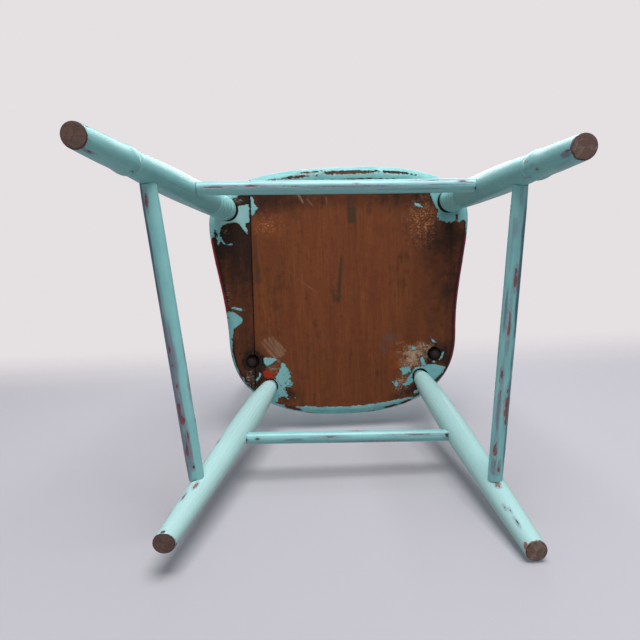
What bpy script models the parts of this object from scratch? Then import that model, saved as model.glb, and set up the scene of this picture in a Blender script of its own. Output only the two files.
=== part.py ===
# Hoop-back kitchen chair in painted wood, standing on its four feet.
# Metres, +Z up. The front faces -Y; left is -X, as seen from in front of it.
# The frame is old and loose: the feet have swayed to -X and the two side
# frames have slipped fore and aft of each other.

import bpy
import bmesh
from math import cos, pi, radians, sin, sqrt, tan
from mathutils import Matrix, Vector

# Seat: its outline is measured from the front edge (y = 0) and the centre line.
SEAT_DEPTH = 0.426
SEAT_FRONT_WIDTH = 0.434
SEAT_TAPER = 0.020
SEAT_REAR_WIDTH = SEAT_FRONT_WIDTH - 2 * SEAT_TAPER
SEAT_FRONT_CORNER = 0.095
SEAT_REAR_CORNER = 0.144
FRONT_SQUARENESS = 2.65
REAR_SQUARENESS = 2.45
SEAT_THICKNESS = 0.032
SEAT_HEIGHT = 0.395
SEAT_TILT = radians(2.1)
UNDER_ROUND = 0.015
TOP_ROUND = 0.009
DISH_RADIUS = 0.150
DISH_DEPTH = 0.006
DISH_SETBACK = 0.222

# The seat is glued up from a narrow board on the -X side and a wide one.
BOARD_JOINT_FRONT = 0.143
BOARD_JOINT_REAR = 0.157

# Leg sockets under the seat and feet on the floor, as spreads and setbacks.
# The rear sockets were bored a little out of line.
FRONT_SOCKET_MARGIN = 0.0335
REAR_SOCKET_MARGIN = 0.0655
FRONT_SOCKET_SPREAD = SEAT_FRONT_WIDTH - 2 * FRONT_SOCKET_MARGIN
FRONT_SOCKET_SETBACK = 0.061
REAR_SOCKET_SPREAD = SEAT_REAR_WIDTH - 2 * REAR_SOCKET_MARGIN
REAR_SOCKET_INSET = 0.063
REAR_SOCKET_SHIFT = 0.0015
REAR_SOCKET_SKEW = 0.0030
FRONT_SPLAY = 0.0195
REAR_SPLAY = 0.0070
FRONT_FOOT_SPREAD = SEAT_FRONT_WIDTH + 2 * FRONT_SPLAY
FRONT_FOOT_REACH = 0.008
REAR_FOOT_SPREAD = SEAT_REAR_WIDTH + 2 * REAR_SPLAY
REAR_FOOT_INSET = 0.0075
FRONT_SWAY = -0.0214
REAR_SWAY = -0.0150
RACK = 0.0147

# Legs, with radii from the foot to the seat.
FRONT_FOOT_RADIUS = 0.0127
BEAD_HEIGHT = 0.088
BEAD_RADIUS = 0.0166
BEAD_LENGTH = 0.022
BEAD_NECK_RADIUS = 0.0146
FRONT_BODY_RADIUS = 0.0193
RING_COUNT = 4
RING_PITCH = 0.0125
RING_WIDTH = 0.0040
RING_DEPTH = 0.0011
RINGS_FROM_SEAT = 0.036
FRONT_SHOULDER_RADIUS = 0.0170
REAR_FOOT_RADIUS = 0.0125
REAR_BODY_RADIUS = 0.0187
REAR_BELLY_FROM_SEAT = 0.105
REAR_SHOULDER_RADIUS = 0.0132
LEG_TENON_RADIUS = 0.0112
LEG_TENON_LENGTH = 0.021

# Turned profiles: a place as a share of the length, then a share of the radius.
BEAD_FOOT_SHARE = 0.91
BEAD_STATIONS = ((-0.2, 0.99), (0.0, 1.0), (0.3, 0.97))
BEAD_LIP_SHARE = 1.04
BEAD_GROOVE_SHARE = 0.97
FRONT_BODY_START_SHARE = 1.02
FRONT_BODY_STATIONS = ((0.34, 0.87), (0.50, 0.98), (0.62, 1.0))
RING_LEVEL_SHARE = 0.985
NECK_SHARE = 0.965
REAR_LOW_STATION = (0.42, 0.88)
REAR_HIGH_STATION = (0.4, 0.91)

# Stretchers, by the height at which their ends meet the legs.
FRONT_STRETCHER_HEIGHT = 0.2357
REAR_STRETCHER_HEIGHT = 0.2179
SIDE_STRETCHER_FRONT_HEIGHT = 0.1347
SIDE_STRETCHER_REAR_HEIGHT = 0.0993
SIDE_STRETCHER_REAR_SHIFT = -0.003
FRONT_STRETCHER_RADIUS = 0.0094
REAR_STRETCHER_RADIUS = 0.0088
SIDE_STRETCHER_RADIUS = 0.0101
STRETCHER_TENON_RADIUS = 0.0076
STRETCHER_TENON_LENGTH = 0.024
STRETCHER_TAPER = 0.030
STRETCHER_TAPER_MIDDLE = 0.4
STRETCHER_WAIST_SHARE = 0.97

# Hoop back: a bent rod whose ends pass through the seat, and plain spindles.
BOW_SPREAD = 0.327
BOW_INSET = 0.0995
BOW_SETBACK = SEAT_DEPTH - BOW_INSET
BOW_WIDTH = 0.366
BOW_SPRING = 0.200
BOW_HEIGHT = 0.430
BOW_LEAN = radians(13)
BOW_RADIUS = 0.0110
BOW_TENON_RADIUS = 0.0092
BOW_TENON_RECESS = 0.0030
BOW_HOLE_MOUTH_RADIUS = 0.0112
BOW_HOLE_MOUTH_DEPTH = 0.0060
SPINDLE_COUNT = 5
SPINDLE_PITCH = 0.054
SPINDLE_FAN = 1.14
SPINDLE_CURVE = 0.040
SPINDLE_END_RADIUS = 0.0046
SPINDLE_BELLY_RADIUS = 0.0064
SPINDLE_BELLY_SHARE = 0.38
SPINDLE_SOCKET_DEPTH = 0.015
SPINDLE_NECK = 0.004

# Clearance between pieces that touch, and reach of a cutter past a surface.
FIT = 0.0003
CUT_PAST = 0.012

FRONT_LEG_SPACING = 0.022
REAR_LEG_SPACING = 0.030
SPINDLE_SPACING = 0.060
LEG_STEPS = 20
ROD_STEPS = 16
SPINDLE_STEPS = 12
HOLE_SIDES = 20
OUTLINE_POINTS = 80
DISH_STEPS = 40
DISH_RINGS = 8
BOW_ARM_STEPS = 5
BOW_ARCH_STEPS = 20
BOW_ROUNDING = 4
RIM_SEGMENTS = 3

PAINT = (0.22, 0.56, 0.55)
SEAT_PAINT = (0.20, 0.50, 0.50)

for old in list(bpy.data.objects):
    bpy.data.objects.remove(old, do_unlink=True)

chair = bpy.data.collections.new("peeling_paint_chair")
cutters = bpy.data.collections.new("cutters")
bpy.context.scene.collection.children.link(chair)
bpy.context.scene.collection.children.link(cutters)

seatFrame = (Matrix.Translation((0, SEAT_DEPTH / 2, SEAT_HEIGHT))
             @ Matrix.Rotation(-SEAT_TILT, 4, "X")
             @ Matrix.Translation((0, -SEAT_DEPTH / 2, 0)))


def on_seat(x, y, z=0.0):
    # A point given on the seat's underside (z = 0) or above it.
    return seatFrame @ Vector((x, y, z))


def finish(name, colour, roughness):
    mat = bpy.data.materials.new(name + " finish")
    mat.use_nodes = True
    shader = mat.node_tree.nodes["Principled BSDF"]
    shader.inputs["Base Color"].default_value = (*colour, 1)
    shader.inputs["Roughness"].default_value = roughness
    shader.inputs["Metallic"].default_value = 0.0
    return mat


def add_part(name, mesh, colour=PAINT, roughness=0.45):
    obj = bpy.data.objects.new(name, mesh)
    obj.data.materials.append(finish(name, colour, roughness))
    chair.objects.link(obj)
    return obj


def add_cutter(name, mesh):
    obj = bpy.data.objects.new(name, mesh)
    obj.hide_render = True
    obj.display_type = "WIRE"
    cutters.objects.link(obj)
    return obj


def cut(obj, cutter):
    mod = obj.modifiers.new("cut " + cutter.name, "BOOLEAN")
    mod.operation = "DIFFERENCE"
    mod.solver = "EXACT"
    mod.object = cutter


def along(start, end):
    # Placement whose local Z runs from start to end.
    turn = (end - start).to_track_quat("Z", "Y")
    return Matrix.Translation(start) @ turn.to_matrix().to_4x4()


def hole_cutter(name, start, end, radius):
    bm = bmesh.new()
    bmesh.ops.create_cone(bm, cap_ends=True, segments=HOLE_SIDES, radius1=radius,
                          radius2=radius, depth=(end - start).length)
    mesh = bpy.data.meshes.new(name)
    bm.to_mesh(mesh)
    bm.free()
    obj = add_cutter(name, mesh)
    obj.matrix_world = along((start + end) / 2, end)
    return obj


def box_cutter(name, size, place):
    bm = bmesh.new()
    bmesh.ops.create_cube(bm, size=1.0)
    bmesh.ops.scale(bm, vec=size, verts=bm.verts)
    mesh = bpy.data.meshes.new(name)
    bm.to_mesh(mesh)
    bm.free()
    obj = add_cutter(name, mesh)
    obj.matrix_world = place
    return obj


def profile_mesh(name, profile):
    # The profile is (distance along the axis, radius) from bottom to top;
    # the turned shape closes on the axis at both ends.
    points = [(0.0, profile[-1][0])]
    points += [(radius, height) for height, radius in reversed(profile)]
    points += [(0.0, profile[0][0])]
    mesh = bpy.data.meshes.new(name)
    edges = [(i, i + 1) for i in range(len(points) - 1)]
    mesh.from_pydata([(x, 0.0, z) for x, z in points], edges, [])
    return mesh


def spin(obj, steps):
    mod = obj.modifiers.new("turning", "SCREW")
    mod.axis = "Z"
    mod.steps = steps
    mod.render_steps = steps
    mod.use_merge_vertices = True
    mod.merge_threshold = 0.00001
    mod.use_smooth_shade = True
    return obj


def eased(stations, spacing):
    # A smooth line through the stations, with points about a spacing apart.
    curve = []
    for i in range(len(stations) - 1):
        before = stations[max(i - 1, 0)]
        (h0, r0), (h1, r1) = stations[i], stations[i + 1]
        after = stations[min(i + 2, len(stations) - 1)]
        slope0 = (r1 - before[1]) / (h1 - before[0])
        slope1 = (after[1] - r0) / (after[0] - h0)
        count = max(1, round((h1 - h0) / spacing))
        for k in range(count):
            t = k / count
            span = h1 - h0
            curve.append((h0 + t * span,
                          (2 * t**3 - 3 * t**2 + 1) * r0
                          + (t**3 - 2 * t**2 + t) * slope0 * span
                          + (3 * t**2 - 2 * t**3) * r1
                          + (t**3 - t**2) * slope1 * span))
    return curve + [stations[-1]]


def seat_half_width(y):
    front = SEAT_FRONT_WIDTH / 2
    rear = SEAT_REAR_WIDTH / 2
    rearStart = SEAT_DEPTH - SEAT_REAR_CORNER
    if y < SEAT_FRONT_CORNER:
        share = (SEAT_FRONT_CORNER - y) / SEAT_FRONT_CORNER
        return front * (1 - min(share, 1)**FRONT_SQUARENESS)**(1 / FRONT_SQUARENESS)
    if y > rearStart:
        share = (y - rearStart) / SEAT_REAR_CORNER
        return rear * (1 - min(share, 1)**REAR_SQUARENESS)**(1 / REAR_SQUARENESS)
    run = (y - SEAT_FRONT_CORNER) / (rearStart - SEAT_FRONT_CORNER)
    return front + (rear - front) * sin(run * pi / 2)**1.5


def seat_outline():
    # Points crowd toward the front and rear edges, where the outline turns.
    half = OUTLINE_POINTS // 2
    right = []
    for i in range(half + 1):
        y = SEAT_DEPTH * (1 - cos(pi * i / half)) / 2
        right.append((seat_half_width(y), y))
    left = [(-x, y) for x, y in reversed(right[1:-1])]
    return right + left


def outline_blank(name, outline, thickness):
    curve = bpy.data.curves.new(name, "CURVE")
    curve.dimensions = "2D"
    curve.fill_mode = "BOTH"
    curve.extrude = thickness / 2
    spline = curve.splines.new("POLY")
    spline.points.add(len(outline) - 1)
    for point, (x, y) in zip(spline.points, outline):
        point.co = (x, y, 0, 1)
    spline.use_cyclic_u = True
    obj = bpy.data.objects.new(name, curve)
    obj.matrix_world = seatFrame @ Matrix.Translation((0, 0, thickness / 2))
    return obj


def as_mesh(curveObj):
    # The curve's evaluated surface as one closed mesh; the curve is removed.
    chair.objects.link(curveObj)
    bpy.context.view_layer.update()
    place = curveObj.matrix_world.copy()
    evaluated = curveObj.evaluated_get(bpy.context.evaluated_depsgraph_get())
    mesh = bpy.data.meshes.new_from_object(evaluated)
    bpy.data.objects.remove(curveObj, do_unlink=True)
    bm = bmesh.new()
    bm.from_mesh(mesh)
    bmesh.ops.remove_doubles(bm, verts=bm.verts, dist=0.00001)
    bmesh.ops.recalc_face_normals(bm, faces=bm.faces)
    bm.to_mesh(mesh)
    bm.free()
    return mesh, place


def merge_flat_sides(mesh):
    # The top and the underside become one face each, so their rims can be rounded.
    bm = bmesh.new()
    bm.from_mesh(mesh)
    for up in (-1, 1):
        flat = [face for face in bm.faces if face.normal.z * up > 0.9]
        bmesh.ops.dissolve_faces(bm, faces=flat)
    bm.to_mesh(mesh)
    bm.free()


def round_rims(obj):
    # The underside's rim is rounded further than the top's.
    mesh = obj.data
    weight = mesh.attributes.new("bevel_weight_edge", "FLOAT", "EDGE")
    for edge in mesh.edges:
        heights = [mesh.vertices[v].co.z for v in edge.vertices]
        if max(heights) < 0:
            weight.data[edge.index].value = 1.0
        elif min(heights) > 0:
            weight.data[edge.index].value = TOP_ROUND / UNDER_ROUND
    mod = obj.modifiers.new("rims", "BEVEL")
    mod.limit_method = "WEIGHT"
    mod.offset_type = "OFFSET"
    mod.width = UNDER_ROUND
    mod.segments = RIM_SEGMENTS
    mod.use_clamp_overlap = False


def dish_cutter():
    # A shallow hollow for the sitter, turned as the cap of a large ball.
    ball = (DISH_RADIUS**2 + DISH_DEPTH**2) / (2 * DISH_DEPTH)
    profile = []
    for i in range(1, DISH_RINGS + 1):
        radius = DISH_RADIUS * i / DISH_RINGS
        profile.append((ball - DISH_DEPTH - sqrt(ball**2 - radius**2), radius))
    profile.append((CUT_PAST, DISH_RADIUS))
    obj = spin(add_cutter("dish", profile_mesh("dish", profile)), DISH_STEPS)
    obj.matrix_world = seatFrame @ Matrix.Translation((0, DISH_SETBACK, SEAT_THICKNESS))
    return obj


def board_cutter(name, side):
    # A block that takes away everything on one side of the boards' joint.
    front = Vector((-BOARD_JOINT_FRONT, 0, 0))
    rear = Vector((-BOARD_JOINT_REAR, SEAT_DEPTH, 0))
    run = (rear - front).normalized()
    outward = Vector((run.y, -run.x, 0)) * side
    reach = SEAT_FRONT_WIDTH * 1.2
    middle = (front + rear) / 2 + outward * (reach / 2 - FIT / 2)
    turn = Matrix.Identity(4)
    turn.col[0].xyz = Vector((run.y, -run.x, 0))
    turn.col[1].xyz = run
    place = seatFrame @ Matrix.Translation(middle + Vector((0, 0, SEAT_THICKNESS / 2))) @ turn
    return box_cutter(name, (reach, SEAT_DEPTH * 1.4, SEAT_THICKNESS * 3), place)


def leg_layout():
    # Foot and seat socket of each leg; side is -1 for -X and +1 for +X.
    layout = {}
    for side, word in ((-1, "left"), (1, "right")):
        socketX = side * REAR_SOCKET_SPREAD / 2 + REAR_SOCKET_SHIFT
        socketY = SEAT_DEPTH - REAR_SOCKET_INSET - side * REAR_SOCKET_SKEW
        footY = SEAT_DEPTH - REAR_FOOT_INSET
        layout["front_" + word] = (
            Vector((side * FRONT_FOOT_SPREAD / 2 + FRONT_SWAY, -FRONT_FOOT_REACH + side * RACK, 0)),
            on_seat(side * FRONT_SOCKET_SPREAD / 2, FRONT_SOCKET_SETBACK))
        layout["rear_" + word] = (
            Vector((side * REAR_FOOT_SPREAD / 2 + REAR_SWAY, footY + side * RACK, 0)),
            on_seat(socketX, socketY))
    return layout


def front_leg_profile(length):
    beadStart = BEAD_HEIGHT - BEAD_LENGTH / 2
    beadEnd = BEAD_HEIGHT + BEAD_LENGTH / 2
    ringStart = length - RINGS_FROM_SEAT - (RING_COUNT - 1) * RING_PITCH
    foot = [(-CUT_PAST, FRONT_FOOT_RADIUS), (beadStart, BEAD_RADIUS * BEAD_FOOT_SHARE)]
    bead = [(BEAD_HEIGHT + BEAD_LENGTH * place, BEAD_RADIUS * share)
            for place, share in BEAD_STATIONS]
    bead += [(beadEnd - RING_DEPTH, BEAD_NECK_RADIUS * BEAD_LIP_SHARE),
             (beadEnd, BEAD_NECK_RADIUS * BEAD_GROOVE_SHARE),
             (beadEnd + RING_WIDTH / 2, BEAD_NECK_RADIUS)]
    level = FRONT_BODY_RADIUS * RING_LEVEL_SHARE
    stations = [(beadEnd + RING_WIDTH, BEAD_NECK_RADIUS * FRONT_BODY_START_SHARE)]
    stations += [(length * place, FRONT_BODY_RADIUS * share)
                 for place, share in FRONT_BODY_STATIONS]
    body = eased(stations + [(ringStart - RING_WIDTH, level)], FRONT_LEG_SPACING)
    rings = []
    for i in range(RING_COUNT):
        h = ringStart + i * RING_PITCH
        rings += [(h - RING_WIDTH / 2, level),
                  (h, level - RING_DEPTH),
                  (h + RING_WIDTH / 2, level)]
    neck = [(length - RINGS_FROM_SEAT / 3, FRONT_BODY_RADIUS * NECK_SHARE),
            (length - RINGS_FROM_SEAT / 9, (FRONT_BODY_RADIUS + FRONT_SHOULDER_RADIUS) / 2),
            (length, FRONT_SHOULDER_RADIUS)]
    return foot + bead + body + rings + neck


def rear_leg_profile(length):
    belly = length - REAR_BELLY_FROM_SEAT
    lowPlace, lowShare = REAR_LOW_STATION
    highPlace, highShare = REAR_HIGH_STATION
    return eased([(-CUT_PAST, REAR_FOOT_RADIUS),
                  (belly * lowPlace, REAR_BODY_RADIUS * lowShare),
                  (belly, REAR_BODY_RADIUS),
                  (length - REAR_BELLY_FROM_SEAT * highPlace, REAR_BODY_RADIUS * highShare),
                  (length, REAR_SHOULDER_RADIUS)], REAR_LEG_SPACING)


def make_leg(name, foot, socket, profileOf, shoulderRadius):
    axis = (socket - foot).normalized()
    seatNormal = seatFrame.to_3x3() @ Vector((0, 0, 1))
    lean = axis.angle(seatNormal)
    shoulder = (socket - foot).length - shoulderRadius * tan(lean) - FIT
    tenonEnd = (socket - foot).length + LEG_TENON_LENGTH
    profile = profileOf(shoulder)
    profile += [(shoulder, LEG_TENON_RADIUS), (tenonEnd, LEG_TENON_RADIUS)]
    leg = spin(add_part("leg_" + name, profile_mesh("leg_" + name, profile)), LEG_STEPS)
    leg.matrix_world = along(foot, socket)
    return leg


def floor_cutter():
    size = (FRONT_FOOT_SPREAD * 2, SEAT_DEPTH * 2.4, CUT_PAST * 4)
    place = Matrix.Translation((0, SEAT_DEPTH / 2, -CUT_PAST * 2))
    return box_cutter("floor", size, place)


def leg_point(foot, socket, height):
    return foot + (socket - foot) * (height / socket.z)


def make_stretcher(name, start, end, radius):
    length = (end - start).length
    waist = STRETCHER_TENON_LENGTH + STRETCHER_TAPER
    half = [(0.0, STRETCHER_TENON_RADIUS),
            (STRETCHER_TENON_LENGTH, STRETCHER_TENON_RADIUS),
            (STRETCHER_TENON_LENGTH + STRETCHER_TAPER * STRETCHER_TAPER_MIDDLE,
             (radius + STRETCHER_TENON_RADIUS) / 2),
            (waist, radius * STRETCHER_WAIST_SHARE)]
    profile = half + [(length / 2, radius)] + [(length - h, r) for h, r in reversed(half)]
    rod = spin(add_part("stretcher_" + name, profile_mesh("stretcher_" + name, profile)), ROD_STEPS)
    rod.matrix_world = along(start, end)
    return rod


def stretcher_socket(name, leg, end, inward):
    # A blind hole in the leg, a little wider and deeper than the rod's end.
    direction = (inward - end).normalized()
    cutter = hole_cutter("socket " + name, end - direction * FIT,
                         end + direction * (FRONT_BODY_RADIUS + CUT_PAST),
                         STRETCHER_TENON_RADIUS + FIT)
    cut(leg, cutter)


def bow_point(u, v):
    # A point of the hoop's plane: u across, v up from the seat's top face.
    return on_seat(u, BOW_SETBACK + v * sin(BOW_LEAN), SEAT_THICKNESS + v * cos(BOW_LEAN))


def bow_rise(u):
    arch = BOW_HEIGHT - BOW_SPRING
    return BOW_SPRING + arch * sqrt(1 - (2 * u / BOW_WIDTH)**2)


def bow_lower_u(v):
    # The lower arms lean outward and are upright where the arch springs.
    return (BOW_WIDTH - (BOW_WIDTH - BOW_SPREAD) * ((BOW_SPRING - v) / BOW_SPRING)**2) / 2


def bow_tenon_direction():
    # The arm's own direction where it enters the seat, pointing down.
    step = 0.001
    return (bow_point(bow_lower_u(0), 0) - bow_point(bow_lower_u(step), step)).normalized()


def bow_route():
    # One arm from the seat to the arch, then over to the other side.
    heights = [BOW_SPRING * i / BOW_ARM_STEPS for i in range(1, BOW_ARM_STEPS)]
    arm = [(bow_lower_u(v), v) for v in heights]
    arch = []
    for i in range(BOW_ARCH_STEPS + 1):
        turn = pi * i / BOW_ARCH_STEPS
        arch.append((BOW_WIDTH / 2 * cos(turn), BOW_SPRING + (BOW_HEIGHT - BOW_SPRING) * sin(turn)))
    return arm + arch + [(-u, v) for u, v in reversed(arm)]


def bow_tenon_ends():
    down = bow_tenon_direction()
    reach = (SEAT_THICKNESS - BOW_TENON_RECESS) / cos(BOW_LEAN)
    root = bow_point(bow_lower_u(0), 0)
    ends = []
    for side in (1, -1):
        mirror = Vector((side, 1, 1))
        ends.append((root * mirror, (root + down * reach) * mirror, down * mirror))
    return ends


def make_bow():
    curve = bpy.data.curves.new("bow", "CURVE")
    curve.dimensions = "3D"
    curve.bevel_depth = BOW_RADIUS
    curve.bevel_resolution = BOW_ROUNDING
    curve.use_fill_caps = True
    thin = BOW_TENON_RADIUS / BOW_RADIUS
    (rootR, endR, downR), (rootL, endL, downL) = bow_tenon_ends()
    lean = downR.angle(on_seat(0, 0, 0) - on_seat(0, 0, 1))
    shoulder = BOW_RADIUS * tan(lean) + FIT
    points = [(endR, thin), (rootR - downR * shoulder, thin), (rootR - downR * (shoulder + FIT), 1.0)]
    points += [(bow_point(u, v), 1.0) for u, v in bow_route()]
    points += [(rootL - downL * (shoulder + FIT), 1.0), (rootL - downL * shoulder, thin), (endL, thin)]
    spline = curve.splines.new("POLY")
    spline.points.add(len(points) - 1)
    for target, (co, radius) in zip(spline.points, points):
        target.co = (*co, 1)
        target.radius = radius
    mesh, place = as_mesh(bpy.data.objects.new("bow", curve))
    bow = add_part("bow", mesh)
    bow.matrix_world = place
    mesh.shade_smooth()
    mesh.set_sharp_from_angle(angle=radians(40))
    return bow


def spindle_ends():
    ends = []
    for i in range(SPINDLE_COUNT):
        x = (i - (SPINDLE_COUNT - 1) / 2) * SPINDLE_PITCH
        back = SPINDLE_CURVE * (1 - (2 * x / BOW_SPREAD)**2)
        foot = on_seat(x, BOW_SETBACK + back, SEAT_THICKNESS - SPINDLE_SOCKET_DEPTH)
        head = bow_point(x * SPINDLE_FAN, bow_rise(x * SPINDLE_FAN))
        ends.append((foot, head))
    return ends


def make_spindle(name, foot, head):
    length = (head - foot).length
    belly = length * SPINDLE_BELLY_SHARE
    straight = SPINDLE_SOCKET_DEPTH + SPINDLE_NECK
    profile = [(0.0, SPINDLE_END_RADIUS)]
    profile += eased([(straight, SPINDLE_END_RADIUS),
                      (belly, SPINDLE_BELLY_RADIUS),
                      (length - straight - BOW_RADIUS, SPINDLE_END_RADIUS)], SPINDLE_SPACING)
    profile += [(length, SPINDLE_END_RADIUS)]
    rod = spin(add_part(name, profile_mesh(name, profile)), SPINDLE_STEPS)
    rod.matrix_world = along(foot, head)
    return rod


def make_seat():
    boards = []
    for name, side in (("seat_board_wide", -1), ("seat_board_narrow", 1)):
        mesh, place = as_mesh(outline_blank(name, seat_outline(), SEAT_THICKNESS))
        merge_flat_sides(mesh)
        board = add_part(name, mesh, SEAT_PAINT, 0.5)
        board.matrix_world = place
        round_rims(board)
        boards.append(board)
    return boards


def centre_on_origin():
    # The origin is under the middle of the chair's outer box, on the floor.
    bpy.context.view_layer.update()
    graph = bpy.context.evaluated_depsgraph_get()
    corners = []
    for obj in chair.objects:
        mesh = obj.evaluated_get(graph).to_mesh()
        corners += [obj.matrix_world @ v.co for v in mesh.vertices]
    shift = Vector(((max(c.x for c in corners) + min(c.x for c in corners)) / 2,
                    (max(c.y for c in corners) + min(c.y for c in corners)) / 2, 0))
    for obj in [*chair.objects, *cutters.objects]:
        obj.location -= shift


def build():
    wide, narrow = make_seat()
    cut(wide, board_cutter("narrow side", -1))
    cut(narrow, board_cutter("wide side", 1))
    dish = dish_cutter()
    cut(wide, dish)
    cut(narrow, dish)

    floor = floor_cutter()
    layout = leg_layout()
    legs = {}
    for name, (foot, socket) in layout.items():
        front = name.startswith("front")
        profileOf = front_leg_profile if front else rear_leg_profile
        shoulder = FRONT_SHOULDER_RADIUS if front else REAR_SHOULDER_RADIUS
        legs[name] = make_leg(name, foot, socket, profileOf, shoulder)
        cut(legs[name], floor)
        axis = (socket - foot).normalized()
        hole = hole_cutter("leg socket " + name, socket - axis * CUT_PAST,
                           socket + axis * (LEG_TENON_LENGTH + FIT), LEG_TENON_RADIUS + FIT)
        cut(narrow if name == "front_left" else wide, hole)

    def at(name, height, shift=0.0):
        foot, socket = layout[name]
        return leg_point(foot, socket, height) + Vector((shift, 0, 0))

    rods = {
        "front": ("front_left", at("front_left", FRONT_STRETCHER_HEIGHT),
                  "front_right", at("front_right", FRONT_STRETCHER_HEIGHT), FRONT_STRETCHER_RADIUS),
        "rear": ("rear_left", at("rear_left", REAR_STRETCHER_HEIGHT),
                 "rear_right", at("rear_right", REAR_STRETCHER_HEIGHT), REAR_STRETCHER_RADIUS)}
    for word in ("left", "right"):
        rods[word] = ("front_" + word, at("front_" + word, SIDE_STRETCHER_FRONT_HEIGHT),
                      "rear_" + word, at("rear_" + word, SIDE_STRETCHER_REAR_HEIGHT,
                                         SIDE_STRETCHER_REAR_SHIFT), SIDE_STRETCHER_RADIUS)
    for name, (legA, start, legB, end, radius) in rods.items():
        make_stretcher(name, start, end, radius)
        stretcher_socket(name + " start", legs[legA], start, end)
        stretcher_socket(name + " end", legs[legB], end, start)

    bow = make_bow()
    for (root, end, down), boards in zip(bow_tenon_ends(), ((wide,), (wide, narrow))):
        hole = hole_cutter("bow hole", root - down * CUT_PAST, end + down * CUT_PAST,
                           BOW_TENON_RADIUS + FIT)
        inside = BOW_HOLE_MOUTH_DEPTH - BOW_TENON_RECESS
        mouth = hole_cutter("broken mouth", end - down * inside, end + down * CUT_PAST,
                            BOW_HOLE_MOUTH_RADIUS)
        for board in boards:
            cut(board, hole)
            cut(board, mouth)

    for i, (foot, head) in enumerate(spindle_ends()):
        name = "spindle_" + str(i + 1)
        make_spindle(name, foot, head)
        axis = (head - foot).normalized()
        reach = SPINDLE_SOCKET_DEPTH + CUT_PAST
        cut(wide, hole_cutter("seat hole " + name, foot - axis * FIT, foot + axis * reach,
                              SPINDLE_END_RADIUS + FIT))
        cut(bow, hole_cutter("bow hole " + name, head + axis * FIT,
                             head - axis * (BOW_RADIUS + CUT_PAST), SPINDLE_END_RADIUS + FIT))
    centre_on_origin()


build()
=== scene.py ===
# Old hoop-back chair with peeling turquoise paint, dressed around its CAD solids.
# Metres. The chair stands on its feet, and the camera looks up at its underside.
import random
import bmesh
import bpy
import numpy as np
from math import cos, pi, radians, sin, sqrt, tan
from mathutils import Matrix, Vector, noise


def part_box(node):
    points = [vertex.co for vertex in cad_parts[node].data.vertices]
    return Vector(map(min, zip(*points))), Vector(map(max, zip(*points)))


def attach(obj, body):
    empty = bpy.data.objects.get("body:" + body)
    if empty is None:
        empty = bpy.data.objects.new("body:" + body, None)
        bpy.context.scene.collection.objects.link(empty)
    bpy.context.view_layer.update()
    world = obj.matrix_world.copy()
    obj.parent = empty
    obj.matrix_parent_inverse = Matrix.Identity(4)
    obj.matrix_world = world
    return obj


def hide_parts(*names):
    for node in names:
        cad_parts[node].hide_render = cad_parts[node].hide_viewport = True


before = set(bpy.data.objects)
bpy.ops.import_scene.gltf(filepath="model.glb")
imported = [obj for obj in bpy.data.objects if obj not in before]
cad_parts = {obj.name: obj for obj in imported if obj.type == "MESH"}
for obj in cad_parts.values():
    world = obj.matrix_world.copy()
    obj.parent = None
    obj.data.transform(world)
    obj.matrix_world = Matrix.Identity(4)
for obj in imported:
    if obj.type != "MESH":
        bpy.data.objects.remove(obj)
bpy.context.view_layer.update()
print("frame loaded")


def colour(red, green, blue):
    # A colour written as 0 to 255, as a linear one for a socket.
    parts = [c / 255 for c in (red, green, blue)]
    return (*[c / 12.92 if c < 0.04045 else ((c + 0.055) / 1.055)**2.4 for c in parts], 1)


class Wire:
    # A socket in a finish; sums, products and comparisons add Math nodes.
    def __init__(self, finish, socket):
        self.finish = finish
        self.socket = socket

    def __add__(self, other):
        return self.finish.math("ADD", self, other)

    __radd__ = __add__

    def __sub__(self, other):
        return self.finish.math("SUBTRACT", self, other)

    def __rsub__(self, other):
        return self.finish.math("SUBTRACT", other, self)

    def __mul__(self, other):
        return self.finish.math("MULTIPLY", self, other)

    __rmul__ = __mul__

    def most(self, other):
        return self.finish.math("MAXIMUM", self, other)

    def step(self, low, high):
        # 0 below low, 1 above high, smooth between.
        settings = {"interpolation_type": "SMOOTHSTEP"}
        return self.finish.node("ShaderNodeMapRange", settings, {0: self, 1: low, 2: high})


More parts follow.
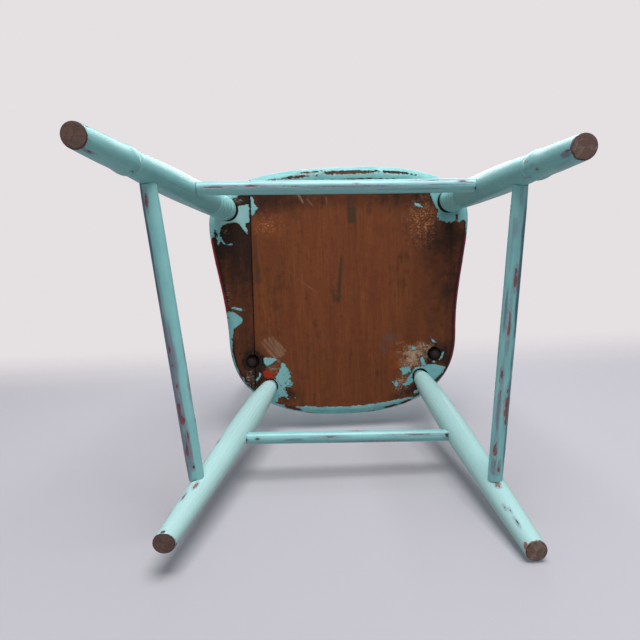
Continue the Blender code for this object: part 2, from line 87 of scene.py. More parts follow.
class Finish:
    # One material, built from its nodes.
    def __init__(self, name):
        self.material = bpy.data.materials.new(name)
        self.material.use_nodes = True
        self.tree = self.material.node_tree
        self.tree.nodes.clear()
        self.place = self.node("ShaderNodeAttribute", {"attribute_name": "local"}, output="Vector")

    def node(self, kind, settings=None, values=None, output=0):
        made = self.tree.nodes.new(kind)
        for key, value in (settings or {}).items():
            setattr(made, key, value)
        for key, value in (values or {}).items():
            if isinstance(value, Wire):
                self.tree.links.new(value.socket, made.inputs[key])
            else:
                made.inputs[key].default_value = value
        return Wire(self, made.outputs[output]) if made.outputs else None

    def math(self, operation, *values):
        return self.node("ShaderNodeMath", {"operation": operation}, dict(enumerate(values)))

    def field(self, name):
        return self.node("ShaderNodeAttribute", {"attribute_name": name}, output="Fac")

    def stretched(self, scale):
        # A piece's own coordinates, scaled along each axis.
        return self.node("ShaderNodeVectorMath", {"operation": "MULTIPLY"}, {0: self.place, 1: scale})

    def noise(self, scale, detail=3.0, roughness=0.55, distortion=0.0):
        # Centred on 0, about -0.5 to 0.5; scale is one number or one for each axis.
        each = scale if isinstance(scale, tuple) else (scale, scale, scale)
        values = {"Vector": self.stretched(each), "Scale": 1.0, "Detail": detail,
                  "Roughness": roughness, "Distortion": distortion}
        return self.node("ShaderNodeTexNoise", None, values) - 0.5

    def mix(self, first, second, share):
        settings = {"data_type": "RGBA"}
        return self.node("ShaderNodeMix", settings, {0: share, 6: first, 7: second}, output=2)

    def layered(self, base, tones, *layers):
        # Named tones over one another, each with the share of it that shows.
        for name, share in layers:
            base = self.mix(base, tones[name], share)
        return base

    def bump(self, height, distance):
        # The height is in units of the distance, in metres.
        return self.node("ShaderNodeBump", None, {"Height": height, "Distance": distance, "Strength": 1.0})

    def surface(self, base, roughness, normal, specular):
        values = {"Base Color": base, "Roughness": roughness, "Specular IOR Level": specular,
                  "Normal": normal}
        shader = self.node("ShaderNodeBsdfPrincipled", None, values)
        self.node("ShaderNodeOutputMaterial", None, {"Surface": shader})
        return self.material


def addObject(name, data):
    made = bpy.data.objects.new(name, data)
    bpy.context.scene.collection.objects.link(made)
    return made


# The seat's own sizes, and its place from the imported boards.
seat = dict(depth=0.426, frontWidth=0.434, rearWidth=0.394, frontCorner=0.095, rearCorner=0.144,
            frontSquareness=2.65, rearSquareness=2.45, thickness=0.032, height=0.395,
            tilt=radians(2.1), underRound=0.015, topRound=0.009,
            dishRadius=0.150, dishDepth=0.006, dishSetback=0.222,
            jointFront=-0.143, jointRear=-0.157, jointGap=0.0007)

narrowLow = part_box("seat_board_narrow")[0]
wideLow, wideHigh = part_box("seat_board_wide")
middleX = (narrowLow.x + wideHigh.x) / 2
frontY = wideLow.y - seat["underRound"] * sin(seat["tilt"])
seatPlace = (Matrix.Translation((middleX, frontY + seat["depth"] / 2, seat["height"]))
             @ Matrix.Rotation(-seat["tilt"], 4, "X")
             @ Matrix.Translation((0, -seat["depth"] / 2, 0)))


def fromSeat(x, y, z=0.0):
    # A point given from the centre line and front edge of the seat's underside.
    return seatPlace @ Vector((x, y, z))


def along(start, end):
    turn = (end - start).to_track_quat("Z", "Y")
    return Matrix.Translation(start) @ turn.to_matrix().to_4x4()


def ringMesh(name, rings):
    # Skins rings of points, an array of ring, point and x y z, and caps both ends.
    count, sides = rings.shape[:2]
    grid = np.arange(count * sides).reshape(count, sides)
    a = grid[:-1]
    b = np.roll(grid[:-1], -1, axis=1)
    c = np.roll(grid[1:], -1, axis=1)
    d = grid[1:]
    faces = np.stack([a, b, c, d], axis=-1).reshape(-1, 4).tolist()
    faces.append(grid[0][::-1].tolist())
    faces.append(grid[-1].tolist())
    mesh = bpy.data.meshes.new(name)
    mesh.from_pydata(rings.reshape(-1, 3).tolist(), [], faces)
    return mesh


def pointsOf(mesh, what="co"):
    values = np.empty(len(mesh.vertices) * 3)
    if what == "co":
        mesh.vertices.foreach_get("co", values)
    else:
        mesh.vertex_normals.foreach_get("vector", values)
    return values.reshape(-1, 3)


def setPoints(mesh, points):
    mesh.vertices.foreach_set("co", points.ravel())
    mesh.update()


def setFields(mesh, **fields):
    # Each field is a number for every vertex, or one number for all of them.
    for name, values in fields.items():
        each = np.broadcast_to(values, len(mesh.vertices))
        layer = mesh.attributes.new(name, "FLOAT", "POINT")
        layer.data.foreach_set("value", np.ascontiguousarray(each, dtype=np.float32))


def speckle(points, size, seed=0.0, octaves=3):
    # Smooth noise at each point, about -1 to 1, with features of the given size.
    shift = Vector((seed * 7.3, seed * 3.1, seed * 5.7))
    return np.array([noise.fractal(Vector(p) / size + shift, 1.0, 2.0, octaves) for p in points])


def ease(values, low, high):
    share = np.clip((values - low) / (high - low), 0, 1)
    return share * share * (3 - 2 * share)


def segmentDistance(points, start, end):
    start = np.array(start, float)
    run = np.array(end, float) - start
    share = np.clip((points - start) @ run / max(run @ run, 1e-12), 0, 1)
    return np.linalg.norm(points - start - share[:, None] * run, axis=1), share


def patchReach(points, outline):
    # Distance inside an outline, negative outside it.
    nearest = np.full(len(points), 1e9)
    inside = np.zeros(len(points), bool)
    x, y = points[:, 0], points[:, 1]
    for (x0, y0), (x1, y1) in zip(outline, [*outline[1:], outline[0]]):
        nearest = np.minimum(nearest, segmentDistance(points, (x0, y0), (x1, y1))[0])
        if y0 != y1:
            crosses = (y0 > y) != (y1 > y)
            inside ^= crosses & (x < (x1 - x0) * (y - y0) / (y1 - y0) + x0)
    return np.where(inside, nearest, -nearest)


def strokeReach(points, path, width, tip=None):
    # Distance inside a brush stroke that narrows from width to tip.
    tip = width if tip is None else tip
    reach = np.full(len(points), -1e9)
    count = len(path) - 1
    for i in range(count):
        distance, share = segmentDistance(points, path[i], path[i + 1])
        radius = (width + (tip - width) * (i + share) / count) / 2
        reach = np.maximum(reach, radius - distance)
    return reach


def blob(points, x, y, acrossX, acrossY, turn=0.0):
    # A soft spot, 1 in the middle.
    dx = points[:, 0] - x
    dy = points[:, 1] - y
    u = (dx * cos(turn) + dy * sin(turn)) / acrossX
    v = (dy * cos(turn) - dx * sin(turn)) / acrossY
    return np.exp(-(u * u + v * v))


def halfWidth(y):
    front = seat["frontWidth"] / 2
    rear = seat["rearWidth"] / 2
    rearStart = seat["depth"] - seat["rearCorner"]
    if y < seat["frontCorner"]:
        share = (seat["frontCorner"] - y) / seat["frontCorner"]
        return front * (1 - min(share, 1)**seat["frontSquareness"])**(1 / seat["frontSquareness"])
    if y > rearStart:
        share = (y - rearStart) / seat["rearCorner"]
        return rear * (1 - min(share, 1)**seat["rearSquareness"])**(1 / seat["rearSquareness"])
    run = (y - seat["frontCorner"]) / (rearStart - seat["frontCorner"])
    return front + (rear - front) * sin(run * pi / 2)**1.5


def seatOutline(count):
    # The outline from above, as points at equal steps round it.
    fine = 400
    right = []
    for i in range(fine + 1):
        y = seat["depth"] * (1 - cos(pi * i / fine)) / 2
        right.append((halfWidth(y), y))
    line = np.array(right + [(-x, y) for x, y in reversed(right[1:-1])] + [right[0]])
    steps = np.concatenate([[0], np.cumsum(np.linalg.norm(np.diff(line, axis=0), axis=1))])
    even = np.linspace(0, steps[-1], count, endpoint=False)
    return np.stack([np.interp(even, steps, line[:, 0]), np.interp(even, steps, line[:, 1])], axis=1)


# How finely the seat is meshed, and what sits in it.
seatGrain = dict(around=620, innerStep=0.0055, outerStep=0.0019, outerReach=0.085, topStep=0.0040,
                 paintRise=0.00035, grainRise=0.00007)


def sectionOf():
    # Inset and height from the underside's rim round to the top, as pairs.
    under, top, thick = seat["underRound"], seat["topRound"], seat["thickness"]
    section = [(under * (1 - sin(t)), under * (1 - cos(t))) for t in np.linspace(0, pi / 2, 13)]
    section += [(0, z) for z in np.linspace(under, thick - top, 5)[1:-1]]
    section += [(top * (1 - cos(t)), thick - top + top * sin(t)) for t in np.linspace(0, pi / 2, 8)]
    return section


def dishAt(x, y):
    ball = (seat["dishRadius"]**2 + seat["dishDepth"]**2) / (2 * seat["dishDepth"])
    far = np.minimum(np.hypot(x, y - seat["dishSetback"]), seat["dishRadius"])
    return np.maximum(np.sqrt(ball**2 - far**2) - (ball - seat["dishDepth"]), 0)


def seatBlank():
    outline = seatOutline(seatGrain["around"])
    ahead = np.roll(outline, -1, axis=0) - np.roll(outline, 1, axis=0)
    inward = np.stack([-ahead[:, 1], ahead[:, 0]], axis=1)
    inward /= np.linalg.norm(inward, axis=1)[:, None]
    heart = np.array([0.0, seat["depth"] / 2])

    def ringAt(inset, height):
        line = outline + inward * inset
        return np.concatenate([line, np.full((len(line), 1), height)], axis=1)

    def toHeart(inset, height, steps):
        rim = ringAt(inset, height)
        return [np.concatenate([heart + (rim[:, :2] - heart) * share,
                                np.full((len(rim), 1), height)], axis=1) for share in steps]

    reach = seat["depth"] / 2
    outerShare = 1 - seatGrain["outerReach"] / reach
    steps = list(np.arange(0.004 / reach, outerShare, seatGrain["innerStep"] / reach))
    steps += list(np.linspace(outerShare, 1, int(seatGrain["outerReach"] / seatGrain["outerStep"])))
    rings = toHeart(seat["underRound"], 0.0, steps[:-1])
    rings += [ringAt(inset, height) for inset, height in sectionOf()]
    topSteps = list(np.arange(1, 0.02, -seatGrain["topStep"] / reach))[1:]
    rings += toHeart(seat["topRound"], seat["thickness"], topSteps)
    rings = np.array(rings)
    rings = rings[:, ::-1]
    top = rings[:, :, 2] > seat["thickness"] - 1e-6
    rings[:, :, 2] -= np.where(top, dishAt(rings[:, :, 0], rings[:, :, 1]), 0)
    return ringMesh("seat blank", rings)


def keepSide(mesh, side):
    # Cuts a board out of the blank along the joint; side 1 keeps the wide one.
    front = Vector((seat["jointFront"], 0, 0))
    run = Vector((seat["jointRear"] - seat["jointFront"], seat["depth"], 0)).normalized()
    outward = Vector((run.y, -run.x, 0)) * side
    bm = bmesh.new()
    bm.from_mesh(mesh)
    cutAt = bmesh.ops.bisect_plane(bm, geom=bm.verts[:] + bm.edges[:] + bm.faces[:], dist=1e-6,
                                   plane_co=front + outward * seat["jointGap"] / 2, plane_no=outward,
                                   clear_inner=True)["geom_cut"]
    edges = [item for item in cutAt if isinstance(item, bmesh.types.BMEdge)]
    bmesh.ops.edgeloop_fill(bm, edges=edges)
    board = bpy.data.meshes.new("board")
    bm.to_mesh(board)
    bm.free()
    return board


# Legs and stretchers: where they stand, as spreads and setbacks from the seat.
legSizes = dict(frontSocketSpread=0.367, frontSocketSetback=0.061, rearSocketSpread=0.263,
                rearSocketInset=0.063, rearSocketShift=0.0015, rearSocketSkew=0.0030,
                frontFootSpread=0.473, frontFootReach=0.008,
                rearFootSpread=0.408, rearFootInset=0.0075, frontSway=-0.0214, rearSway=-0.0150,
                rack=0.0147, frontFootRadius=0.0127, beadHeight=0.088, beadRadius=0.0166,
                beadLength=0.022, beadNeck=0.0146, frontBody=0.0193, rings=5, ringPitch=0.0118,
                ringWidth=0.0056, ringDepth=0.0021, ringsFromSeat=0.022, frontShoulder=0.0176,
                rearFootRadius=0.0124, rearBody=0.0187, rearBelly=0.105, rearShoulder=0.0134,
                tenonRadius=0.0112, tenonLength=0.019, sides=64, spacing=0.0015,
                shoulderGap=0.0006, shoulderEdge=0.0006, soleEdge=0.0014, soleReach=0.03,
                footTone=dict(front_left=0.15, front_right=0.65, rear_left=0.1, rear_right=0.9))


def legEnds(name):
    side = 1 if name.endswith("right") else -1
    size = legSizes
    x = side / 2
    slip = side * size["rack"]
    if name.startswith("front"):
        foot = (x * size["frontFootSpread"] + size["frontSway"], slip - size["frontFootReach"])
        socket = fromSeat(x * size["frontSocketSpread"], size["frontSocketSetback"])
    else:
        foot = (x * size["rearFootSpread"] + size["rearSway"],
                seat["depth"] - size["rearFootInset"] + slip)
        socket = fromSeat(x * size["rearSocketSpread"] + size["rearSocketShift"],
                          seat["depth"] - size["rearSocketInset"] - side * size["rearSocketSkew"])
    return Vector((foot[0] + middleX, foot[1] + frontY, 0)), socket


def smoothLine(stations, at):
    # A smooth line through (place, radius) stations, read at many places.
    places = np.array([p for p, r in stations])
    radii = np.array([r for p, r in stations])
    slopes = np.gradient(radii, places)
    i = np.clip(np.searchsorted(places, at, side="right") - 1, 0, len(places) - 2)
    span = places[i + 1] - places[i]
    t = np.clip((at - places[i]) / span, 0, 1)
    return ((2 * t**3 - 3 * t**2 + 1) * radii[i] + (t**3 - 2 * t**2 + t) * slopes[i] * span
            + (3 * t**2 - 2 * t**3) * radii[i + 1] + (t**3 - t**2) * slopes[i + 1] * span)


def frontRadius(at, length):
    size = legSizes
    start = size["beadHeight"] - size["beadLength"] / 2
    end = size["beadHeight"] + size["beadLength"] / 2
    lower = smoothLine([(0, size["frontFootRadius"]), (start * 0.6, size["beadRadius"] * 0.87),
                        (start, size["beadRadius"] * 0.93), (size["beadHeight"], size["beadRadius"]),
                        (end - 0.003, size["beadRadius"] * 0.965), (end, size["beadNeck"] * 1.01)], at)
    body = smoothLine([(end, size["beadNeck"] * 1.01), (length * 0.34, size["frontBody"] * 0.87),
                       (length * 0.50, size["frontBody"] * 0.98), (length * 0.62, size["frontBody"]),
                       (length - 0.03, size["frontBody"] * 0.985),
                       (length - size["ringsFromSeat"] / 9, size["frontShoulder"] * 1.05),
                       (length, size["frontShoulder"])], at)
    radius = np.where(at < end, lower, body)
    radius -= 0.0011 * np.exp(-((at - end - 0.001) / 0.0013)**2)
    for i in range(size["rings"]):
        ring = length - size["ringsFromSeat"] - (size["rings"] - 1 - i) * size["ringPitch"]
        radius -= size["ringDepth"] * np.exp(-((at - ring) / (size["ringWidth"] * 0.42))**2)
    return radius


def rearRadius(at, length):
    size = legSizes
    belly = length - size["rearBelly"]
    return smoothLine([(0, size["rearFootRadius"]), (belly * 0.42, size["rearBody"] * 0.88),
                       (belly, size["rearBody"]),
                       (length - size["rearBelly"] * 0.4, size["rearBody"] * 0.91),
                       (length, size["rearShoulder"])], at)


def roundRings(places, radii, sides):
    turn = np.arange(sides) * 2 * pi / sides
    rings = np.empty((len(places), sides, 3))
    rings[:, :, 0] = radii[:, None] * np.cos(turn)
    rings[:, :, 1] = radii[:, None] * np.sin(turn)
    rings[:, :, 2] = np.array(places)[:, None]
    return rings


def alongAndRound(points):
    # Distance along a rod and angle round it.
    return points[:, 2], np.arctan2(points[:, 1], points[:, 0])


def chipReach(points, radius, chips, seed):
    # Worn spots on a rod: (mm along, degrees round, mm long, mm wide, what shows).
    s, turn = alongAndRound(points)
    reach = np.full(len(points), -0.02)
    shows = np.zeros(len(points))
    ragged = speckle(points * np.array([1, 1, 0.35]), 0.0045, seed)
    for place, angle, length, width, kind in chips:
        ds = (s - place / 1000) / (length / 2000)
        apart = (turn - radians(angle) + pi) % (2 * pi) - pi
        dt = apart * radius / (width / 2000)
        inside = (1 - np.sqrt(ds**2 + dt**2 + 1e-9)) * min(length, width) / 2000
        inside += ragged * min(width * 0.00030, 0.0014)
        shows = np.where(inside > reach, kind, shows)
        reach = np.maximum(reach, inside)
    return reach, shows


def rubField(points, radius, rubs, seed):
    # Soft worn areas: (mm along, degrees round, mm long, mm wide, strength, share of navy painted shade).
    s, turn = alongAndRound(points)
    rubbed = np.zeros(len(points))
    navy = np.zeros(len(points))
    streaks = speckle(points * np.array([1, 1, 0.12]), 0.0040, seed + 8)
    for place, angle, length, width, strength, blue in rubs:
        ds = (s * 1000 - place) / (length / 2)
        apart = (turn - radians(angle) + pi) % (2 * pi) - pi
        dt = apart * radius * 1000 / (width / 2)
        shape = ease(1 - (ds**4 + dt**4)**0.25 + streaks * 0.3, -0.15, 0.5) * strength
        navy = np.where(shape > rubbed, blue, navy)
        rubbed = np.maximum(rubbed, shape)
    return rubbed, navy


# What shows in a worn spot: 0 red undercoat, 0.5 grey-purple primer, 1 dark wood.
wear = {
    "leg_front_left": [(15, -77, 10, 2.4, 0.3), (90, -84, 5, 2, 1), (7, 160, 9, 12, 0.6),
                       (196, -20, 6, 2, 0.5), (6, 80, 8, 12, 0.9), (150, 120, 12, 3, 0.2),
                       (330, 80, 10, 3, 0.4)],
    "leg_front_right": [(8, -40, 8, 3, 0.4), (90, -16, 5, 2, 0.9), (71, -62, 4, 2, 1),
                        (77, -39, 3, 1.6, 0.9), (131, 20, 7, 3, 0.6), (5, 100, 9, 14, 0.6),
                        (240, 60, 14, 3, 0.2)],
    "leg_rear_left": [(86, -150, 9, 4, 0.1), (5, -40, 7, 11, 0.1), (4, -160, 6, 9, 1),
                      (64, -175, 8, 3, 0.4), (230, 100, 16, 3, 0.2)],
    "leg_rear_right": [(99, -63, 9, 4, 0), (104, -72, 6, 2, 0), (96, -54, 6, 2, 0.1), (91, -62, 5, 3, 0.1),
                       (107, -60, 6, 1.6, 0.9), (93, -72, 5, 2, 0.9), (35, -85, 7, 2, 0.9),
                       (52, -80, 5, 2, 0.9), (5, -120, 7, 10, 0.1), (60, -95, 5, 2, 0.8),
                       (6, 20, 9, 10, 0.7), (250, 90, 14, 3, 0.2)],
    "stretcher_front": [(42, -98, 30, 2.4, 0.4), (33, -96, 10, 2.0, 0.2), (93, -105, 17, 2.8, 0.3),
                        (70, -108, 26, 1.2, 0.5), (188, -93, 74, 1.6, 0.1), (250, -93, 60, 1.4, 0.5),
                        (140, -97, 40, 1.2, 0.6), (374, -128, 9, 4, 0.35), (340, -142, 26, 1.6, 0.4),
                        (395, -66, 8, 6, 0.2), (232, -112, 4, 1.6, 0.9), (383, -112, 14, 1.6, 0.9)],
    "stretcher_rear": [(137, -112, 24, 1.8, 0.35), (265, -122, 38, 1.6, 0.45), (310, -112, 9, 5, 0.9),
                       (315, -96, 6, 4, 0.1), (33, -105, 4, 3, 1), (17, -97, 4, 4, 1),
                       (200, -60, 40, 1.4, 0.5)],
    "stretcher_left": [(35, -74, 17, 4.5, 0.1), (211, -64, 8, 3.6, 0.1), (231, -66, 5, 2.4, 0.2),
                       (257, -72, 5, 3, 0.1), (285, -60, 22, 5, 0.15), (299, -72, 16, 6.5, 0.15),
                       (322, -92, 24, 2.2, 0.2), (341, -62, 10, 5, 0), (357, -50, 14, 1.8, 0.1),
                       (360, -98, 5, 3, 1), (379, -88, 6, 4, 0.1), (214, -56, 5, 2, 1),
                       (290, -52, 12, 2, 1), (333, -74, 12, 1.8, 0.3)],
    "stretcher_right": [(126, -97, 20, 4.5, 0.15), (117, -94, 10, 3, 0.3), (182, -73, 38, 3.4, 0.15),
                        (243, -55, 12, 3.6, 0.4), (283, -111, 40, 5.5, 0.15), (300, -112, 12, 4, 0.3),
                        (337, -52, 17, 5, 0.05), (330, -55, 14, 2, 0.2), (362, -95, 8, 3, 0.2),
                        (352, -60, 14, 1.4, 0.4), (268, -58, 34, 1.4, 0.4)],
}

# Where the paint is rubbed thin and the primer greys through it; the navy ones are dark blue-grey along the
# stretchers' edges, painted shade over the rubbed primer.
rubs = {
    "leg_front_left": [(300, -70, 60, 12, 0.30, 0), (60, -60, 40, 10, 0.25, 0), (13, -72, 22, 7, 0.75, 0),
                       (200, 20, 120, 14, 0.4, 0)],
    "leg_front_right": [(250, -150, 90, 14, 0.30, 0), (90, -120, 60, 12, 0.35, 0),
                        (30, -95, 40, 14, 0.4, 0), (12, -52, 18, 9, 0.8, 0), (98, -80, 26, 7, 0.5, 0)],
    "leg_rear_left": [(180, 60, 120, 14, 0.4, 0)],
    "leg_rear_right": [(190, 80, 120, 14, 0.4, 0)],
    "stretcher_front": [(80, -104, 110, 5, 0.60, 0), (215, -94, 190, 3.6, 0.75, 0),
                        (330, -140, 90, 4, 0.55, 0), (374, -124, 22, 7, 0.7, 0), (120, -126, 60, 3, 0.5, 0),
                        (300, -66, 110, 3.2, 0.55, 0), (355, -100, 70, 3, 0.5, 1)],
    "stretcher_rear": [(85, -92, 36, 4, 0.7, 0), (265, -118, 46, 4, 0.6, 0), (140, -108, 34, 4, 0.45, 0)],
    "stretcher_left": [(75, -27, 210, 13, 1.0, 1), (60, -44, 170, 7, 0.8, 1),
                       (190, -34, 130, 12, 0.85, 0.45), (150, -62, 100, 8, 0.5, 0.1),
                       (205, -70, 90, 14, 0.75, 0.0), (290, -40, 200, 16, 0.80, 0.1),
                       (275, -76, 110, 12, 0.75, 0), (335, -80, 70, 12, 0.70, 0)],
    "stretcher_right": [(64, -58, 34, 9, 0.55, 0), (92, -44, 60, 5, 0.5, 0), (165, -41, 66, 4, 0.8, 0.3),
                        (287, -48, 64, 6, 0.75, 0), (243, -52, 24, 6, 0.6, 0), (360, -50, 24, 7, 0.7, 0),
                        (356, -94, 22, 6, 0.6, 0), (24, -86, 34, 7, 0.4, 0), (126, -96, 34, 7, 0.55, 0),
                        (195, -76, 60, 4, 0.45, 0), (120, -134, 240, 9, 0.95, 1),
                        (300, -134, 130, 7, 0.7, 1)],
}


# Fields of a part with no foot and no joint, in millimetres from them.
farFromAll = dict(footHeight=200.0, capReach=-5.0, joint=20.0)

# How much lighter each piece's paint is: partly chalky paint, partly a painted sheen where the key lamp
# catches it; below 0 it is painted shade.
faded = dict(leg_front_left=0.04, leg_front_right=0.0, leg_rear_left=0.74, leg_rear_right=0.64,
             stretcher_front=0.24, stretcher_rear=0.16, stretcher_left=0.02, stretcher_right=0.0)


# How deep a chip is sunk, over what distance its edge falls, and how lumpy the paint lies.
chipDepth = 0.00030
chipEdge = (-0.0002, 0.0005)
lumpHeight = 0.00012


def scatterChips(length, count, seed, long=9.0):
    # Small worn spots at places nobody chose.
    pick = random.Random(seed)
    chips = []
    for i in range(count):
        size = pick.uniform(1.2, 2.6)
        # Few of them on the side that the light from below finds.
        chips.append((pick.uniform(0.03, 0.97) * length * 1000, pick.uniform(10, 200),
                      size * pick.uniform(1.5, long / 2), size, pick.choice((0.1, 0.2, 0.5, 0.8))))
    return chips


def addPiece(name, mesh, place, finish, slotName, *nodes):
    # The finish keeps the piece's own coordinates, and the mesh moves to its place.
    local = mesh.attributes.new("local", "FLOAT_VECTOR", "POINT")
    local.data.foreach_set("vector", pointsOf(mesh).astype(np.float32).ravel())
    mesh.transform(place)
    obj = addObject(name, mesh)
    mesh.materials.append(finish)
    mesh.shade_smooth()
    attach(obj, "root")
    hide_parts(*nodes)
    return obj


def paintedRod(node, mesh, place, radius, chips, seed, finish, strokes=1.0):
    # Sinks the worn spots below the paint and gives the mesh its wear fields.
    points = pointsOf(mesh)
    reach, shows = chipReach(points, radius, chips, seed)
    rubbed, navy = rubField(points, radius, rubs.get(node, []), seed)
    normals = pointsOf(mesh, "normal")
    lumps = speckle(points * np.array([1, 1, 0.25]), 0.014, seed + 3, 2) * lumpHeight * strokes
    depth = ease(reach, *chipEdge) * chipDepth
    setFields(mesh, worn=reach * 1000, shows=shows, rubbed=rubbed, navy=navy)
    offGround = ease(points[:, 2], 0.003, 0.012)
    setPoints(mesh, points + normals * ((lumps - depth) * offGround)[:, None])
    return addPiece(node + "_painted", mesh, place, finish, "turquoise", node)


def makeLeg(name, seed, finish):
    size = legSizes
    foot, socket = legEnds(name)
    place = along(foot, socket)
    front = name.startswith("front")
    shoulderRadius = size["frontShoulder"] if front else size["rearShoulder"]
    lean = (socket - foot).angle(seatPlace.to_3x3() @ Vector((0, 0, 1)))
    length = (socket - foot).length - shoulderRadius * tan(lean) - size["shoulderGap"]
    at = np.linspace(0, length, int(length / size["spacing"]))
    radii = (frontRadius if front else rearRadius)(at, length)
    near = np.clip(1 - (length - at) / size["shoulderEdge"], 0, 1)
    radii -= size["shoulderEdge"] * 0.8 * (1 - np.sqrt(1 - near**2))
    soleRadii = np.linspace(0.06, 0.9, 10) * radii[0]
    edgeRadii = [radii[0] * 0.955, radii[0] * 0.985]
    places = np.concatenate([np.zeros(len(soleRadii)), [0.0002, 0.0007],
                             at + size["soleEdge"] * (1 - at / length),
                             [length + 0.0001, length + size["tenonLength"]]])
    allRadii = np.concatenate([soleRadii, edgeRadii, radii, [size["tenonRadius"]] * 2])
    rings = roundRings(places, allRadii, size["sides"])
    # Near the foot the rings lean over, so that the chair stands flat on the floor.
    turn = place.to_3x3()
    down = np.array(turn.row[2])
    lift = -(rings[:, :, 0] * down[0] + rings[:, :, 1] * down[1]) / down[2]
    rings[:, :, 2] += lift * np.clip(1 - rings[:, :, 2] / size["soleReach"], 0, 1)
    mesh = ringMesh("leg " + name, rings)
    points = pointsOf(mesh)
    node = "leg_" + name
    fade = faded[node]
    if front:
        # Lighter ridges and darker grooves near the seat: painted highlight on the turned rings and painted
        # shade in their grooves.
        turned = (length - size["ringsFromSeat"] - points[:, 2]) / size["ringPitch"]
        near = ease(turned, -0.9, -0.3) * ease(-turned, -size["rings"] + 0.2, -size["rings"] + 0.8)
        fade = fade - np.cos(turned * 2 * pi) * 0.40 * near
    setFields(mesh, footHeight=(points @ np.array(turn).T)[:, 2] * 1000, fade=fade,
              capReach=(radii[0] - np.hypot(points[:, 0], points[:, 1])) * 1000,
              capTone=size["footTone"][name], joint=farFromAll["joint"])
    chips = wear[node] + scatterChips(length, 9, seed)
    return paintedRod(node, mesh, place, radii.mean(), chips, seed, finish)


stretcherSizes = dict(frontHeight=0.2357, rearHeight=0.2179, sideFrontHeight=0.1347,
                      sideRearHeight=0.0993, sideRearShift=-0.003, frontRadius=0.0094,
                      rearRadius=0.0088, leftRadius=0.0103, rightRadius=0.0095, tenonRadius=0.0076,
                      tenonLength=0.024, shoulder=0.93, taper=0.030, sideShift=0.0006, sides=44,
                      spacing=0.0022)


def legPoint(name, height, shift=0.0):
    foot, socket = legEnds(name)
    return foot + (socket - foot) * (height / socket.z) + Vector((shift, 0, 0))


def jointReach(points, legs):
    # Millimetres from the surface of the nearest leg.
    nearest = np.full(len(points), 0.02)
    for name in legs:
        foot, socket = legEnds(name)
        length = (socket - foot).length
        axis = np.array((socket - foot).normalized())
        away = points - np.array(foot)
        t = away @ axis
        radiusAt = frontRadius if name.startswith("front") else rearRadius
        gap = np.linalg.norm(away - t[:, None] * axis, axis=1) - radiusAt(t, length)
        nearest = np.minimum(nearest, np.abs(gap))
    return nearest * 1000


def makeStretcher(name, start, end, radius, legs, seed, finish):
    size = stretcherSizes
    length = (end - start).length
    at = np.linspace(0, length, int(length / size["spacing"]))
    nearEnd = np.minimum(at, length - at)
    shoulder = radius * size["shoulder"]
    tenon = size["tenonLength"] / 2
    radii = np.interp(nearEnd, [0, tenon, tenon + 0.001, tenon + size["taper"], length / 2],
                      [size["tenonRadius"], size["tenonRadius"], shoulder, radius * 0.985, radius])
    rings = roundRings(at, radii, size["sides"])
    mesh = ringMesh("stretcher " + name, rings)
    place = along(start, end)
    world = pointsOf(mesh) @ np.array(place.to_3x3()).T + np.array(place.translation)
    node = "stretcher_" + name
    setFields(mesh, **{**farFromAll, "joint": jointReach(world, legs), "fade": faded[node]})
    chips = wear[node] + scatterChips(length, 12, seed, 16)
    return paintedRod(node, mesh, place, radius, chips, seed, finish)


bowSizes = dict(spread=0.327, setback=0.3265, width=0.366, spring=0.200, height=0.430,
                lean=radians(13), radius=0.0107, tenonRadius=0.0092, tenonRecess=0.0030,
                mouthRadius=0.0112, mouthDepth=0.0060, spindles=5, pitch=0.054, fan=1.14, curve=0.040,
                endRadius=0.0046, bellyRadius=0.0064, meanRadius=0.006, bellyShare=0.38,
                socketDepth=0.015, sides=36, spindleSides=24, armStep=0.004, archSteps=150)


def bowPoint(u, v):
    return fromSeat(u, bowSizes["setback"] + v * sin(bowSizes["lean"]),
                    seat["thickness"] + v * cos(bowSizes["lean"]))


def bowRise(u):
    return bowSizes["spring"] + ((bowSizes["height"] - bowSizes["spring"])
                                 * sqrt(1 - (2 * u / bowSizes["width"])**2))


def bowArm(v):
    size = bowSizes
    return (size["width"] - (size["width"] - size["spread"])
            * ((size["spring"] - v) / size["spring"])**2) / 2


